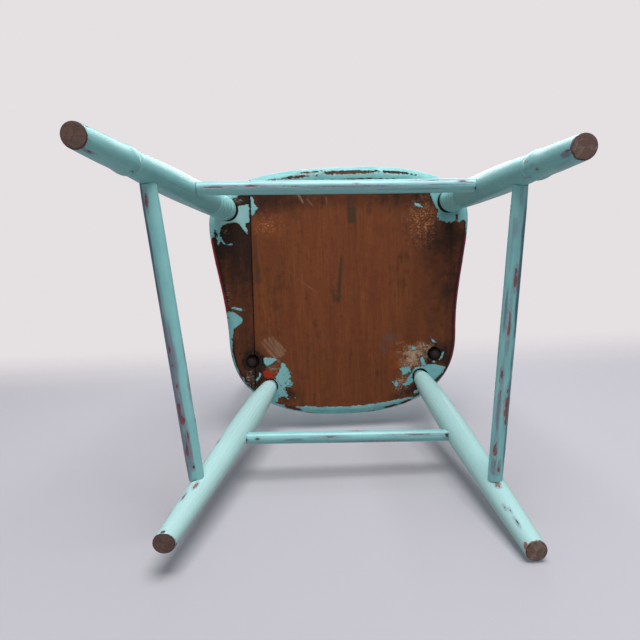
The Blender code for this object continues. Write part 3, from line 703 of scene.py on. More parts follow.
def makeBow(finish):
    size = bowSizes
    arm = [(bowArm(v), v) for v in np.arange(0, size["spring"], size["armStep"])]
    arch = [(size["width"] / 2 * cos(t), size["spring"] + (size["height"] - size["spring"]) * sin(t))
            for t in np.linspace(0, pi, size["archSteps"])]
    flat = arm + arch + [(-u, v) for u, v in reversed(arm)]
    route = [bowPoint(u, v) for u, v in flat]
    down = (route[0] - route[1]).normalized()
    reach = (seat["thickness"] - size["tenonRecess"]) / cos(size["lean"])
    mirror = Vector((-1, 1, 1))
    tail = [route[0] + down * (reach * k / 6) for k in range(6, 0, -1)]
    # The other arm's tail is the same one, mirrored in the seat's centre line.
    across = [seatPlace @ ((seatPlace.inverted() @ p) * mirror) for p in reversed(tail)]
    route = tail + route + across
    lift = size["radius"] * tan(size["lean"])
    radii = []
    for p in route:
        inSeat = (seatPlace.inverted() @ p).z < seat["thickness"] + lift
        radii.append(size["tenonRadius"] if inSeat else size["radius"])
    planeNormal = (bowPoint(0.1, 0) - bowPoint(0, 0)).cross(bowPoint(0, 0.1) - bowPoint(0, 0)).normalized()
    turn = np.arange(size["sides"]) * 2 * pi / size["sides"]
    rings = []
    for i, p in enumerate(route):
        ahead = (route[min(i + 1, len(route) - 1)] - route[max(i - 1, 0)]).normalized()
        side = ahead.cross(planeNormal)
        ring = [p + (side * cos(t) + planeNormal * sin(t)) * radii[i] for t in turn]
        rings.append(ring)
    mesh = ringMesh("bow", np.array(rings))
    points = pointsOf(mesh)
    reachWorn = speckle(points, 0.02, 5) * 0.004 + speckle(points, 0.006, 9) * 0.002 - 0.0042
    toSeat = np.array(seatPlace.inverted())
    inSeat = points @ toSeat[2, :3] + toSeat[2, 3] < seat["thickness"]
    # Inside the seat the tenons are bare end grain painted near black: partly the wood's own dark, partly
    # painted shade in their holes.
    reachWorn = np.where(inSeat, 0.004, reachWorn)
    setFields(mesh, **farFromAll, fade=0.0, worn=reachWorn * 1000,
              rubbed=ease(speckle(points, 0.05, 6, 2), 0.1, 0.7) * 0.6,
              shows=np.where(inSeat, 1.8, ease(speckle(points, 0.03, 2, 1), -0.6, 0.6)))
    normals = pointsOf(mesh, "normal")
    setPoints(mesh, points - normals * (ease(reachWorn, *chipEdge) * chipDepth)[:, None])
    return addPiece("bow_painted", mesh, Matrix.Identity(4), finish, "turquoise", "bow")


def spindleEnds(index):
    size = bowSizes
    x = (index - (size["spindles"] - 1) / 2) * size["pitch"]
    back = size["curve"] * (1 - (2 * x / size["spread"])**2)
    foot = fromSeat(x, size["setback"] + back, seat["thickness"] - size["socketDepth"])
    return foot, bowPoint(x * size["fan"], bowRise(x * size["fan"]))


def makeSpindle(index, finish):
    size = bowSizes
    foot, head = spindleEnds(index)
    length = (head - foot).length
    straight = size["socketDepth"] + 0.004
    at = np.linspace(0, length - 0.001, int(length / 0.003))
    radii = smoothLine([(0, size["endRadius"]), (straight, size["endRadius"]),
                        (length * size["bellyShare"], size["bellyRadius"]),
                        (length - straight - size["radius"], size["endRadius"]),
                        (length, size["endRadius"])], at)
    mesh = ringMesh("spindle", roundRings(at, radii, size["spindleSides"]))
    setFields(mesh, **farFromAll, fade=0.1)
    node = "spindle_" + str(index + 1)
    seed = 40 + index
    chips = scatterChips(length, 7, seed, 14)
    return paintedRod(node, mesh, along(foot, head), size["meanRadius"], chips, seed, finish, 0.4)


# Turquoise brushed over the bare underside, in millimetres across and back from the front edge.
slops = {
    "front left": [(-165, 56), (-154, 54), (-146, 55), (-147, 84), (-154, 85), (-153, 91), (-151, 103),
                   (-157, 96), (-163, 88), (-169, 82), (-174, 83), (-187, 84), (-194, 89), (-198, 99),
                   (-195, 111), (-202, 119), (-204, 110), (-202, 101), (-206, 92), (-211, 98),
                   (-214, 66), (-190, 50)],
    "front left lobe": [(-144, 40), (-139, 44), (-138, 52), (-132, 60), (-137, 66), (-142, 75),
                        (-145, 84)],
    "left edge": [(-196, 229), (-183, 232), (-173, 239), (-168, 246), (-170, 251), (-178, 256),
                  (-185, 263), (-190, 280), (-191, 297), (-199, 300)],
    "rear left triangle": [(-141, 314), (-129, 314), (-121, 316), (-114, 318), (-118, 322),
                           (-124, 325), (-130, 330), (-133, 330), (-138, 323)],
    "rear left blob": [(-108, 322), (-102, 326), (-93, 342), (-91, 349), (-94, 354), (-89, 363),
                       (-93, 370), (-100, 368), (-104, 373), (-98, 385), (-99, 392), (-110, 386),
                       (-115, 388), (-119, 396), (-132, 394), (-140, 372), (-128, 356), (-120, 353),
                       (-118, 344), (-112, 336)],
    "rear left dab": [(-148, 340), (-144, 341), (-145, 348), (-153, 357), (-155, 354), (-149, 346)],
    "rear right crescent": [(175, 316), (174, 323), (168, 331), (163, 333), (168, 324), (170, 318)],
    "rear right streak": [(149, 288), (153, 291), (162, 301), (157, 301), (151, 295)],
    "rear right under hole": [(151, 331), (160, 333), (159, 336), (152, 335)],
    "rear right dab": [(117, 306), (125, 306), (126, 311), (118, 312)],
    "rear right tongue": [(131, 325), (138, 325), (142, 335), (142, 342), (136, 340), (133, 333)],
    "rear right": [(141, 339), (153, 337), (173, 342), (180, 345), (173, 353), (166, 361),
                   (158, 366), (152, 368), (128, 372), (118, 352), (120, 344), (131, 340)],
    "rear right left blob": [(95, 343), (110, 339), (116, 341), (117, 350), (108, 356), (101, 358),
                             (99, 349)],
    "rear right lower blob": [(116, 353), (124, 352), (130, 364), (116, 372), (107, 377), (102, 375),
                              (108, 363)],
    "rear right small": [(83, 367), (93, 366), (94, 376), (89, 378)],
    "rear right by leg": [(119, 386), (131, 380), (132, 387), (126, 390), (121, 393)],
    "front right": [(150, 40), (152, 52), (156, 63), (160, 72), (165, 77), (160, 86), (167, 93),
                    (179, 96), (186, 97), (194, 94), (195, 86), (197, 84), (198, 99), (205, 95),
                    (213, 92), (215, 70), (200, 46), (180, 36)],
    "front right spot": [(126, 62), (135, 65), (140, 69), (137, 72), (129, 69), (126, 66)],
}
slopStrokes = [([(-198, 106), (-194, 114), (-187, 118), (-178, 117)], 4.0, 2.2),
               ([(-184, 225), (-166, 230)], 5.5, 3.0), ([(-95, 385), (-87, 389)], 3.0, 1.5),
               ([(-186, 335), (-172, 356), (-150, 380)], 1.6, 1.0),
               ([(-160, 372), (-154, 366), (-152, 374)], 1.4, 1.0),
               ([(-168, 41), (-159, 47)], 2.2, 1.0), ([(-176, 44), (-170, 52)], 1.6, 0.8)]

# Dark runs and knocks on the bare wood, then pale scratches.
darkMarks = [([(22, 50), (21.5, 68)], 11, 10, 0.45), ([(18.5, 68), (18.5, 88)], 8, 8, 0.8),
             ([(25, 68), (25, 88)], 8, 8, 0.8), ([(26, 90), (27, 108)], 6, 2, 0.4),
             ([(85, 67), (85, 77)], 2.8, 2.8, 0.7), ([(53, 211), (54, 221)], 4, 2.4, 0.55),
             ([(2, 148), (-1.0, 178), (-4, 205), (-6, 219)], 4.0, 8.0, 0.8),
             ([(-6, 221), (-13, 219), (-14, 192)], 5.0, 2.8, 0.7),
             ([(-2, 247), (-2, 249)], 4.5, 4, 0.6), ([(44, 168), (45, 178)], 2.4, 2, 0.5),
             ([(-141, 106), (-141, 145), (-138, 180)], 6.5, 11.0, 0.46),
             ([(-107, 174), (-105, 195)], 5, 5, 0.4), ([(-74, 384), (-75, 403)], 2.0, 1.4, 0.9),
             ([(-53, 382), (-54, 405)], 2.2, 2.0, 0.9), ([(24, 130), (25, 136)], 2, 2, 0.4)]
paleMarks = [([(-65, 41), (-58, 54)], 3.0, 1.8, 0.5), ([(-50, 50), (-42, 60)], 2.0, 1.2, 0.3),
             ([(-134, 283), (-112, 312)], 4.6, 5.4, 0.26), ([(-127, 280), (-108, 312)], 3.8, 4.8, 0.32),
             ([(-121, 279), (-104, 309)], 3.2, 4.4, 0.30), ([(-139, 288), (-120, 314)], 3.4, 4.6, 0.22),
             ([(-130, 300), (-112, 322)], 2.4, 3.0, 0.5), ([(-116, 284), (-100, 304)], 1.8, 2.4, 0.4),
             ([(-20, 48), (-18, 56)], 2.4, 1.6, 0.2), ([(-72, 180), (-40, 205)], 1.6, 1.2, 0.12),
             ([(90, 300), (104, 296)], 1.8, 1.4, 0.3), ([(132, 300), (134, 308)], 2.2, 1.4, 0.6)]

# Black knocks round the hoop's holes: mm across, mm back, mm wide, strength.
scorches = [(-159, 316, 18, 1.3), (-152, 332, 12, 1.1), (-143, 322, 7, 0.6), (158, 320, 13, 0.5),
            (150, 331, 8, 0.9), (-186, 101, 9, 0.9), (196, 84, 4, 1.0), (186, 80, 3.5, 1.0)]

# How far in from the rim the turquoise starts: angle from the front, mm of the rounding.
rimStart = [(-180, -3), (-160, -2), (-154, 4), (-140, 4), (-136, 9), (-110, 11), (-97, 11), (-94, 22),
            (-66, 22), (-62, 5), (-52, 2), (-42, -3), (-20, -5), (0, -5), (20, -5), (42, -3), (52, 2),
            (60, 8), (66, 14), (70, 22), (100, 22), (106, 17), (122, 18), (130, 13), (140, 7),
            (147, 3), (152, -1), (160, -3), (180, -3)]

# Worn holes in the painted rim: angle, degrees long, mm up the rounding, mm wide.
rimChips = [(4.4, 22.8, 6.5, 6.5), (24.5, 12.7, 7.5, 4.2), (-11, 8, 10, 2.8), (-19.7, 12.6, 3.5, 3.2),
            (-30, 5, 5, 1.6), (16, 5, 8, 2.0), (168, 5, 13, 2.2), (158, 6, 9, 5.0), (151, 5, 10, 8.0),
            (-155, 7, 8, 6.0), (-163, 3, 14, 2.5), (-148, 5, 4, 4.0), (145, 4, 6, 5.0),
            (-128, 5, 14, 3.0), (-118, 4, 15, 2.5), (-102, 3, 14, 2.0)]


# Soft spots on the underside: mm across, mm back, mm wide, mm long, strength and turn.
seatSpots = dict(
    dark=[(186, 120, 48, 36, 0.52), (184, 190, 40, 66, 0.36), (194, 265, 38, 66, 0.22),
          (150, 160, 40, 90, 0.12), (-156, 317, 15, 18, 0.5), (-150, 340, 17, 26, 0.6),
          (-187, 101, 13, 13, 0.7), (-100, 382, 18, 12, 0.6), (112, 384, 30, 9, 0.6, -0.4),
          (178, 330, 20, 26, 0.45), (157, 318, 19, 17, 0.5), (-166, 372, 22, 16, 0.4)],
    smudge=[(81, 287, 11, 8, 0.65), (71, 305, 8, 9, 0.7), (110, 84, 8, 4, 0.4)],
    beige=[(120, 322, 24, 20, 1.3), (100, 372, 16, 20, 0.9), (-124, 336, 12, 12, 0.7),
           (-163, 352, 12, 22, 0.6), (-165, 46, 14, 7, 0.6), (142, 306, 13, 8, 0.9),
           (-192, 205, 9, 34, 0.40), (-196, 300, 6, 26, 0.5), (-186, 96, 9, 7, 0.5),
           (-120, 96, 18, 14, 0.3)],
    orange=[(92, 334, 13, 26, 0.8), (110, 300, 20, 12, 0.35), (-175, 322, 12, 20, 0.4),
            (178, 345, 14, 18, 0.5), (-118, 92, 22, 14, 0.5)],
    crumbly=[(138, 92, 20, 32, 1.0), (-118, 88, 20, 16, 0.6)],
    broken=[(-202, 100, 12, 22, 0.6), (-102, 364, 30, 36, 1.6), (-190, 256, 20, 36, 0.8),
            (114, 355, 38, 34, 1.0), (-156, 58, 16, 12, 0.4), (-176, 374, 30, 20, 0.8),
            (178, 84, 30, 22, 0.55)],
    # Lighter chalky paint at the front left and rear left; below 0, painted shade from the right front leg
    # and along the rear rim.
    fade=[(-178, 66, 34, 30, 0.75), (-112, 352, 40, 40, 0.3), (172, 80, 30, 26, -0.5),
          (60, 418, 120, 14, -0.25)])

# The chip through to red beside the rear left leg.
redChipOutline = [(-142, 341), (-135, 335), (-126, 341), (-119, 344), (-124, 350), (-133, 352),
                  (-139, 348)]


def paintReach(flat, z):
    # Millimetres inside the turquoise, and how far round the rim each point is.
    outline = seatOutline(200) * 1000
    inset = patchReach(flat, [tuple(p) for p in outline])
    under = seat["underRound"] * 1000
    rim = np.where(z < 0.05, under - inset, under * np.arccos(np.clip(1 - z / under, -1, 1)))
    rim = np.where(z > under, under * pi / 2 + z - under, rim)
    angle = np.degrees(np.arctan2(flat[:, 0], seat["depth"] * 500 - flat[:, 1]))
    start = np.interp(angle, [a for a, q in rimStart], [q for a, q in rimStart])
    reach = rim - start
    for place, spread, height, width in rimChips:
        apart = (angle - place + 180) % 360 - 180
        shape = 1 - np.sqrt((apart / (spread / 2))**2 + ((rim - height) / (width / 2))**2)
        reach = np.minimum(reach, -shape * width / 2)
    onUnderside = z < 8
    for outline in slops.values():
        reach = np.where(onUnderside, np.maximum(reach, patchReach(flat, outline)), reach)
    for path, width, tip in slopStrokes:
        reach = np.where(onUnderside, np.maximum(reach, strokeReach(flat, path, width, tip)), reach)
    return reach, rim, angle


def seatFields(mesh, bored):
    points = pointsOf(mesh) * 1000
    flat, z = points[:, :2], points[:, 2]
    reach, rim, angle = paintReach(flat, z)
    ragged = speckle(points, 5.5, 1) * 1.5 + speckle(points, 2.2, 4, 2) * 0.7
    top = z > seat["thickness"] * 1000 - 7
    topWear = speckle(points * np.array([1, 0.5, 1]), 34, 6) * 9 + speckle(points, 7, 7) * 3
    seated = blob(flat, 0, 235, 120, 110) * 4
    reach = np.where(top & (rim > 24), 6.5 - np.maximum(topWear + seated, -20), reach)
    reach = np.clip(reach + ragged, -12, 3.0)

    # The joint runs a little askew, so the narrow board is wider at the front.
    jointX = np.interp(flat[:, 1] / 1000, [0, seat["depth"]], [seat["jointFront"], seat["jointRear"]]) * 1000
    narrow = flat[:, 0] < jointX
    toFront = ease(-flat[:, 1], -235, -95)
    spots = {name: sum(strength * blob(flat, x, y, acrossX, acrossY, *turn)
                       for x, y, acrossX, acrossY, strength, *turn in places)
             for name, places in seatSpots.items()}
    dark = narrow * (0.57 + 0.42 * toFront) + 0.27 * (1 - narrow) * ease(-flat[:, 0], 40, 120)
    dark += 0.25 * ease(flat[:, 0], 50, 115) + spots["dark"]
    frayed = speckle(points, 11, 23) * 0.55 + speckle(points, 3, 24, 2) * 0.15
    for x, y, across, strength in scorches:
        dark += strength * ease(1 - np.hypot(flat[:, 0] - x, flat[:, 1] - y) / across + frayed, 0, 0.35)
    # Darker along the front strip, on the rim's rounding and towards the rear; the front strip is painted
    # shadow of the front stretcher as well as stain.
    dark += 0.55 * ease(-flat[:, 1], -84, -50) + 0.85 * ease(rim, 3, 14) + 0.12 * ease(flat[:, 1], 260, 420)
    dark += speckle(points * np.array([1, 0.35, 1]), 24, 11) * 0.16 + speckle(points, 7, 17) * 0.10

    mark = np.zeros(len(flat))
    pale = np.zeros(len(flat))
    for target, marks in ((mark, darkMarks), (pale, paleMarks)):
        for path, width, tip, strength in marks:
            shape = strokeReach(flat, path, width, tip) + speckle(points, 3.0, 13, 2) * 0.6
            np.maximum(target, ease(shape, -1.4, 1.6) * strength, out=target)
    chip = patchReach(flat, redChipOutline) + speckle(points, 3, 15, 2) * 0.8
    fields = {**spots, "dark": dark, "painted": reach, "rim": rim, "mark": mark, "pale": pale,
              "broken": np.clip(0.20 + spots["broken"], 0, 2), "redChip": chip}
    # Inside the holes and the steps the wood is painted near black: painted shade in the recesses.
    inHole = dict(painted=-12, dark=1.6, redChip=-5)
    setFields(mesh, **{name: np.where(bored, inHole.get(name, 0), values)
                       for name, values in fields.items()})
    setFields(mesh, narrow=narrow, seam=np.abs(flat[:, 0] - jointX), wine=ease(angle, 0, 60))
    return np.where(bored, -12, reach)


# Shallow steps beside the leg ends, where the socket is wider than the leg; their insides are painted dark
# as shade: the direction from the leg, mm off its middle and mm wider than it.
steps = dict(front_left=(0.90, 0.55, 1.0, 0.5), front_right=(-0.85, 0.60, 2.1, 1.0),
             rear_right=(-0.25, -1.0, 1.4, 0.7), rear_left=(0.70, -0.70, 0.5, 0.35))
stepDepth = 0.0030
holeGap = 0.0003
pastHole = 0.010


def seatHoles():
    # Start, end and radius of every hole, then of the wider mouths and steps.
    toSeat = seatPlace.inverted()
    holes, mouths = [], []
    for name, (across, back, offset, wider) in steps.items():
        foot, socket = legEnds(name)
        start, end = toSeat @ foot, toSeat @ socket
        axis = (end - start).normalized()
        holes.append((end - axis * 0.004, end + axis * (legSizes["tenonLength"] + 0.002),
                      legSizes["tenonRadius"] + holeGap))
        shoulder = legSizes["frontShoulder" if name.startswith("front") else "rearShoulder"]
        middle = end + Vector((across, back, 0)).normalized() * offset / 1000
        up = Vector((0, 0, stepDepth))
        mouths.append((middle - up, middle + up, shoulder + wider / 1000))
    size = bowSizes
    root = toSeat @ bowPoint(bowArm(0), 0)
    step = size["armStep"]
    down = (root - toSeat @ bowPoint(bowArm(step), step)).normalized()
    reach = (seat["thickness"] - size["tenonRecess"]) / cos(size["lean"])
    for side in (1, -1):
        mirror = Vector((side, 1, 1))
        top, end = (root - down * pastHole) * mirror, (root + down * reach) * mirror
        way = down * mirror
        holes.append((top, end + way * pastHole, size["tenonRadius"] + holeGap))
        mouths.append((end - way * (size["mouthDepth"] - size["tenonRecess"]), end + way * pastHole,
                       size["mouthRadius"]))
    for index in range(size["spindles"]):
        foot, head = (toSeat @ p for p in spindleEnds(index))
        axis = (head - foot).normalized()
        holes.append((foot - axis * holeGap, foot + axis * 0.025, size["endRadius"] + holeGap))
    return holes, mouths


def bore(mesh, tools):
    # Cuts round holes out of a mesh and gives the new one.
    bm = bmesh.new()
    for start, end, radius in tools:
        place = along(start, end) @ Matrix.Translation((0, 0, (end - start).length / 2))
        bmesh.ops.create_cone(bm, cap_ends=True, segments=48, radius1=radius, radius2=radius,
                              depth=(end - start).length, matrix=place)
    cutterMesh = bpy.data.meshes.new("holes")
    bm.to_mesh(cutterMesh)
    bm.free()
    cutter = addObject("holes", cutterMesh)
    solid = addObject("solid", mesh)
    cut = solid.modifiers.new("holes", "BOOLEAN")
    cut.object = cutter
    cut.solver = "EXACT"
    bpy.context.view_layer.update()
    bored = bpy.data.meshes.new_from_object(solid.evaluated_get(bpy.context.evaluated_depsgraph_get()))
    bpy.data.objects.remove(solid)
    bpy.data.objects.remove(cutter)
    return bored


def insideHoles(points, tools):
    inside = np.zeros(len(points), bool)
    for start, end, radius in tools:
        axis = np.array((end - start).normalized())
        away = points - np.array(start)
        t = away @ axis
        far = np.linalg.norm(away - t[:, None] * axis, axis=1)
        inside |= (far < radius + 0.0001) & (t > -0.0001) & (t < (end - start).length + 0.0001)
    return inside & (points[:, 2] > 0.0004) & (points[:, 2] < seat["thickness"] - 0.0004)


def makeSeatBoard(name, side, blank, holes, mouths, finish):
    mesh = bore(bore(keepSide(blank, side), holes), mouths)
    bored = insideHoles(pointsOf(mesh), holes + mouths)
    reach = seatFields(mesh, bored)
    points = pointsOf(mesh)
    normals = pointsOf(mesh, "normal")
    rise = ease(reach, -0.3, 0.5) * seatGrain["paintRise"]
    grain = speckle(points * np.array([1, 0.06, 1]), 0.004, 21) * seatGrain["grainRise"]
    setPoints(mesh, points + normals * (rise - seatGrain["paintRise"] + grain)[:, None])
    board = addPiece(name + "_worn", mesh, seatPlace, finish, "seat", name)
    mesh.set_sharp_from_angle(angle=radians(50))
    return board


# Tones of the enamel, of the seat's wood and of the sawn feet.
# Of the enamel tones, the deep teal and the dark navy stand for painted shade.
paintTone = dict(base=colour(151, 212, 212), shade=colour(120, 191, 194), chalk=colour(190, 226, 225),
                 shaded_teal=colour(84, 138, 144), red=colour(146, 68, 62), plum=colour(100, 82, 100),
                 bark=colour(72, 48, 44), rust=colour(172, 88, 60), rub=colour(136, 134, 152),
                 navy=colour(68, 96, 122), gap=colour(48, 54, 60), soot=colour(48, 31, 25))
woodTone = dict(light=colour(146, 82, 45), mid=colour(121, 62, 34), deep=colour(82, 41, 24),
                black=colour(34, 22, 18), raw=colour(224, 190, 160), drip=colour(66, 54, 40),
                smudge=colour(98, 88, 84), orange=colour(168, 84, 38), chip=colour(186, 48, 22),
                crumb=colour(214, 148, 104), red=colour(176, 36, 38), wine=colour(144, 26, 66),
                gap=colour(56, 24, 17))
sawnTone = dict(base=colour(126, 94, 83), dark=colour(66, 47, 41), pale=colour(182, 154, 142),
                rim=colour(46, 34, 32))


# What one unit of relief in a finish stands for, in metres.
bumpDistance = 0.00022


def turquoiseFinish():
    m = Finish("turquoise enamel")
    names = ("worn", "shows", "footHeight", "capReach", "fade", "rubbed")
    worn, shows, footHeight, cap, fade, rubbed = (m.field(name) for name in names)
    fine = m.noise((620, 620, 260), 3.0)
    brush = m.noise((520, 520, 16), 4.0, 0.6)
    cloudy = m.noise(26, 3.0)
    footWear = 1.5 + m.noise(260, 3.0) * 7 + m.noise(70, 2.0) * 4 - footHeight
    chipped = (worn + fine * 1.3).most(footWear) + brush * 1.6
    bare = chipped.step(-0.15, 0.45)
    lip = chipped.step(-0.9, 0.0) - bare
    grime = m.noise((150, 150, 60), 5.0, 0.7).step(0.17, 0.40)
    halo = (chipped + brush * 2).step(-2.6, -0.3) * footHeight.step(4, 12)
    paint = m.layered(
        paintTone["base"], paintTone,
        ("shade", (cloudy * 1.3 + brush * 1.0 + 0.32).step(0.0, 1.0)),
        ("chalk", (brush * 2.2 + cloudy * 0.7).step(0.35, 1.1) * 0.6),
        # Painted sheen lightens the enamel where the field is above 0, and painted shade darkens it to deep
        # teal below 0.
        ("chalk", (fade + brush * fade * 0.35).step(0.0, 1.0)),
        ("shaded_teal", (0 - fade).step(0.0, 1.0)),
        ("rub", grime * 0.35),
        ("rub", halo * (0.55 + fine)),
        ("chalk", lip * 0.3))
    # Rubbed primer greys through the enamel; its navy share is painted shade along the edges.
    rubTone = m.mix(paintTone["rub"], paintTone["navy"], m.field("navy"))
    paint = m.mix(paint, rubTone, (rubbed * (1.0 + brush * 1.2 + fine * 0.6)).step(0.05, 1.0) * 0.95)
    rusty = m.noise(420, 2.0).step(0.0, 0.3) * (1 - shows.step(0.05, 0.5))
    under = m.layered(
        paintTone["red"], paintTone,
        ("plum", (shows + fine * 0.5 + brush * 0.3).step(0.15, 0.5)),
        ("bark", (shows + m.noise(300, 2.0) * 0.5).step(0.6, 0.85)),
        ("soot", (shows + fine * 0.8 + cloudy * 0.4).step(1.3, 1.7)),
        ("rust", rusty * 0.8))
    base = m.mix(paint, under, bare * (0.82 + shows * 0.14 + fine * 0.6 + brush * 0.3))
    gap = m.field("joint") + fine * 0.8
    base = m.mix(base, paintTone["gap"], (1 - gap.step(0.35, 1.3)) * 0.85)
    # The sawn foot: rings round an off-centre heart, and grit.
    heart = m.node("ShaderNodeVectorMath", {"operation": "SUBTRACT"}, {0: m.place, 1: (0.004, -0.003, 0)})
    away = m.node("ShaderNodeVectorMath", {"operation": "LENGTH"}, {0: heart}, output="Value")
    rings = m.math("SINE", away * 4200 + m.noise(160, 2.0) * 9)
    grit = m.noise(520, 5.0, 0.7)
    blotch = m.noise(170, 4.0, 0.6)
    sawn = m.layered(
        sawnTone["base"], sawnTone,
        ("dark", (rings * 0.26 + grit * 2.0 + blotch * 2.8 + 0.34).step(0.0, 1.0)),
        ("pale", (blotch * 1.4 + grit * 1.0 + m.field("capTone") * 0.30).step(0.08, 0.62) * 0.75),
        ("rim", (1 - (cap + blotch * 3).step(0.3, 1.8)) * 0.8))
    onCap = (0.45 - footHeight).step(-0.15, 0.1) * cap.step(0.05, 0.25)
    base = m.mix(base, sawn, onCap)
    covered = (1 - bare) * (1 - onCap)
    roughness = 0.62 - covered * (0.34 - brush * 0.14 - rubbed * 0.14)
    relief = covered * (brush * 0.35 + cloudy * 0.2) + (1 - covered) * (grit * 0.8) + covered * 1.2
    normal = m.bump(relief, bumpDistance)
    return m.surface(base, roughness, normal, specular=0.5)


def seatFinish():
    m = Finish("seat boards")
    names = ("painted", "rim", "dark", "narrow", "broken", "beige", "mark", "fade")
    painted, rim, dark, narrow, broken, beige, mark, fade = (m.field(name) for name in names)
    fine = m.noise(560, 3.0, 0.6)
    bristle = m.noise((170, 90, 150), 3.0)
    flaked = m.noise(270, 4.0, 0.65)
    edge = painted + fine * 2.2 + bristle * 3.2 + broken * (flaked * 13 - 0.5)
    cover = edge.step(-0.25, 0.65)
    lip = edge.step(-1.5, 0.0) - cover
    # Bare wood, its grain running front to back.
    grain = m.noise((190, 11, 120), 6.0, 0.66, 0.8)
    streak = m.noise((560, 26, 400), 4.0, 0.6)
    figure = m.noise((34, 3.4, 30), 3.0, 0.5, 1.2)
    pores = m.noise((900, 60, 900), 2.0)
    mottle = m.noise(64, 4.0, 0.62)
    blotch = m.noise((22, 9, 22), 3.0)
    tone = grain * 0.9 + streak * 0.45 + figure * 1.3 + mottle * 1.0 + blotch * 0.8 + fine * 0.9 + 0.42
    depth = mottle * 1.5 - grain * 0.7 + figure * 1.0 + blotch * 1.7 + streak * 0.3
    uneven = mottle * 0.8 + grain * 0.7 + blotch * 0.25 + streak * 0.4 + 1
    crumbs = m.noise(330, 3.0, 0.7)
    grit = m.noise(700, 3.0, 0.7)
    flecks = (crumbs * 1.8 + grit * 0.9 + m.noise(120, 3.0) * 0.9).step(-0.02, 0.36)
    pits = (crumbs * 1.4 - grit * 1.6).step(0.14, 0.36)
    dust = (m.noise(640, 2.0) + m.noise(95, 3.0) * 0.6 + narrow * 0.10).step(0.32, 0.46)
    flakes = (m.noise(240, 2.0, 0.6) + m.noise(60, 2.0) * 0.5).step(0.30, 0.40)
    wood = m.layered(
        woodTone["mid"], woodTone,
        ("light", tone.step(0.0, 1.0)),
        ("deep", depth.step(-0.02, 0.75) * 0.85),
        ("deep", pores.step(0.12, 0.32) * 0.28),
        ("orange", m.field("orange") * (mottle * 2 + 0.6).step(0.0, 1.0)),
        ("black", (dark * uneven).step(0.10, 1.05) * 0.93),
        ("raw", (beige * (flecks * 0.8 + mottle * 1.6 + 0.36)).step(0.10, 0.85) * 0.8),
        ("black", (beige * pits * 1.2).step(0.0, 1.0) * 0.85),
        ("crumb", m.field("crumbly") * flecks * 0.95),
        ("raw", dust * (0.12 + narrow * 0.62)),
        ("raw", flakes * (0.05 + narrow * 0.22)),
        ("smudge", m.field("smudge") * (mottle * 2.5 + 0.7).step(0.0, 1.0) * 0.8),
        ("drip", mark * (grain * 0.8 + 0.95)),
        ("raw", m.field("pale") * (streak * 1.4 + 0.72).step(0.1, 1.0)))
    # Red undercoat shows along the sides where the rim's paint has worn back.
    undercoat = m.mix(woodTone["red"], woodTone["wine"], m.field("wine"))
    red = (rim + bristle * 4).step(9.5, 12.5) * (1 - cover)
    wood = m.mix(wood, undercoat, red * (0.85 + m.noise(160, 3.0) * 1.8).step(0.2, 0.9))
    seam = m.field("seam") + fine * 0.8 + bristle * 0.6
    seamDark = 1 - seam.step(0.5, 1.5)
    wood = m.mix(wood, woodTone["gap"], seamDark * (0.74 + grain * 0.5))
    redChip = (m.field("redChip") + fine * 0.8).step(-0.1, 0.4)
    wood = m.mix(wood, m.mix(woodTone["chip"], woodTone["red"], crumbs.step(0.0, 0.2)), redChip)
    wood = m.mix(wood, woodTone["black"], lip * 0.6 * (1 - red))
    cloudy = m.noise(30, 3.0)
    stroke = m.noise((60, 230, 120), 4.0, 0.6, 0.3)
    paint = m.layered(
        paintTone["base"], paintTone,
        ("shade", (cloudy * 1.6 + stroke * 1.2 + 0.45).step(0.0, 1.0)),
        ("chalk", (stroke * 2.0 + cloudy).step(0.3, 1.1) * 0.6),
        # Chalky paint lightens the seat's paint above 0; painted shade darkens it to deep teal below 0.
        ("chalk", (fade + stroke * fade).step(0.0, 1.0)),
        ("shaded_teal", (0 - fade).step(0.0, 1.0)))
    smears = m.noise(180, 4.0, 0.7).step(0.14, 0.36)
    thin = (1 - painted.step(0.2, 2.6)) * (stroke * 2.6 + crumbs * 1.6 + 0.42).step(0.1, 0.9)
    paint = m.layered(
        paint, woodTone,
        ("deep", smears * (0.30 + broken * 0.25)),
        ("mid", thin * 0.6),
        ("gap", seamDark * 0.75))
    base = m.mix(wood, paint, cover * (1 - redChip))
    roughness = 0.66 - cover * (0.26 - stroke * 0.1) - mark * 0.14
    bareRelief = grain * 0.8 + pores * -0.3 + crumbs * beige * 1.4
    relief = cover * (1.5 + stroke * 0.5) + (1 - cover) * bareRelief - seamDark * 1.5
    normal = m.bump(relief, bumpDistance)
    return m.surface(base, roughness, normal, specular=0.25)


def makeSeat(finish):
    blank = seatBlank()
    holes, mouths = seatHoles()
    for name, side in (("seat_board_wide", 1), ("seat_board_narrow", -1)):
        makeSeatBoard(name, side, blank, holes, mouths, finish)


enamel = turquoiseFinish()
makeSeat(seatFinish())
print("seat made")
for seed, name in enumerate(("front_left", "front_right", "rear_left", "rear_right")):
    makeLeg(name, seed + 1, enamel)
print("legs made")

size = stretcherSizes
for seed, end in ((11, "front"), (12, "rear")):
    legs = (end + "_left", end + "_right")
    start, stop = (legPoint(leg, size[end + "Height"]) for leg in legs)
    makeStretcher(end, start, stop, size[end + "Radius"], legs, seed, enamel)
for seed, side, outward in ((13, "left", -1), (14, "right", 1)):
    shift = outward * size["sideShift"]
    makeStretcher(side, legPoint("front_" + side, size["sideFrontHeight"], shift),
                  legPoint("rear_" + side, size["sideRearHeight"], size["sideRearShift"] + shift),
                  size[side + "Radius"], ("front_" + side, "rear_" + side), seed, enamel)
print("stretchers made")
makeBow(enamel)
for index in range(bowSizes["spindles"]):
    makeSpindle(index, enamel)
print("back made")


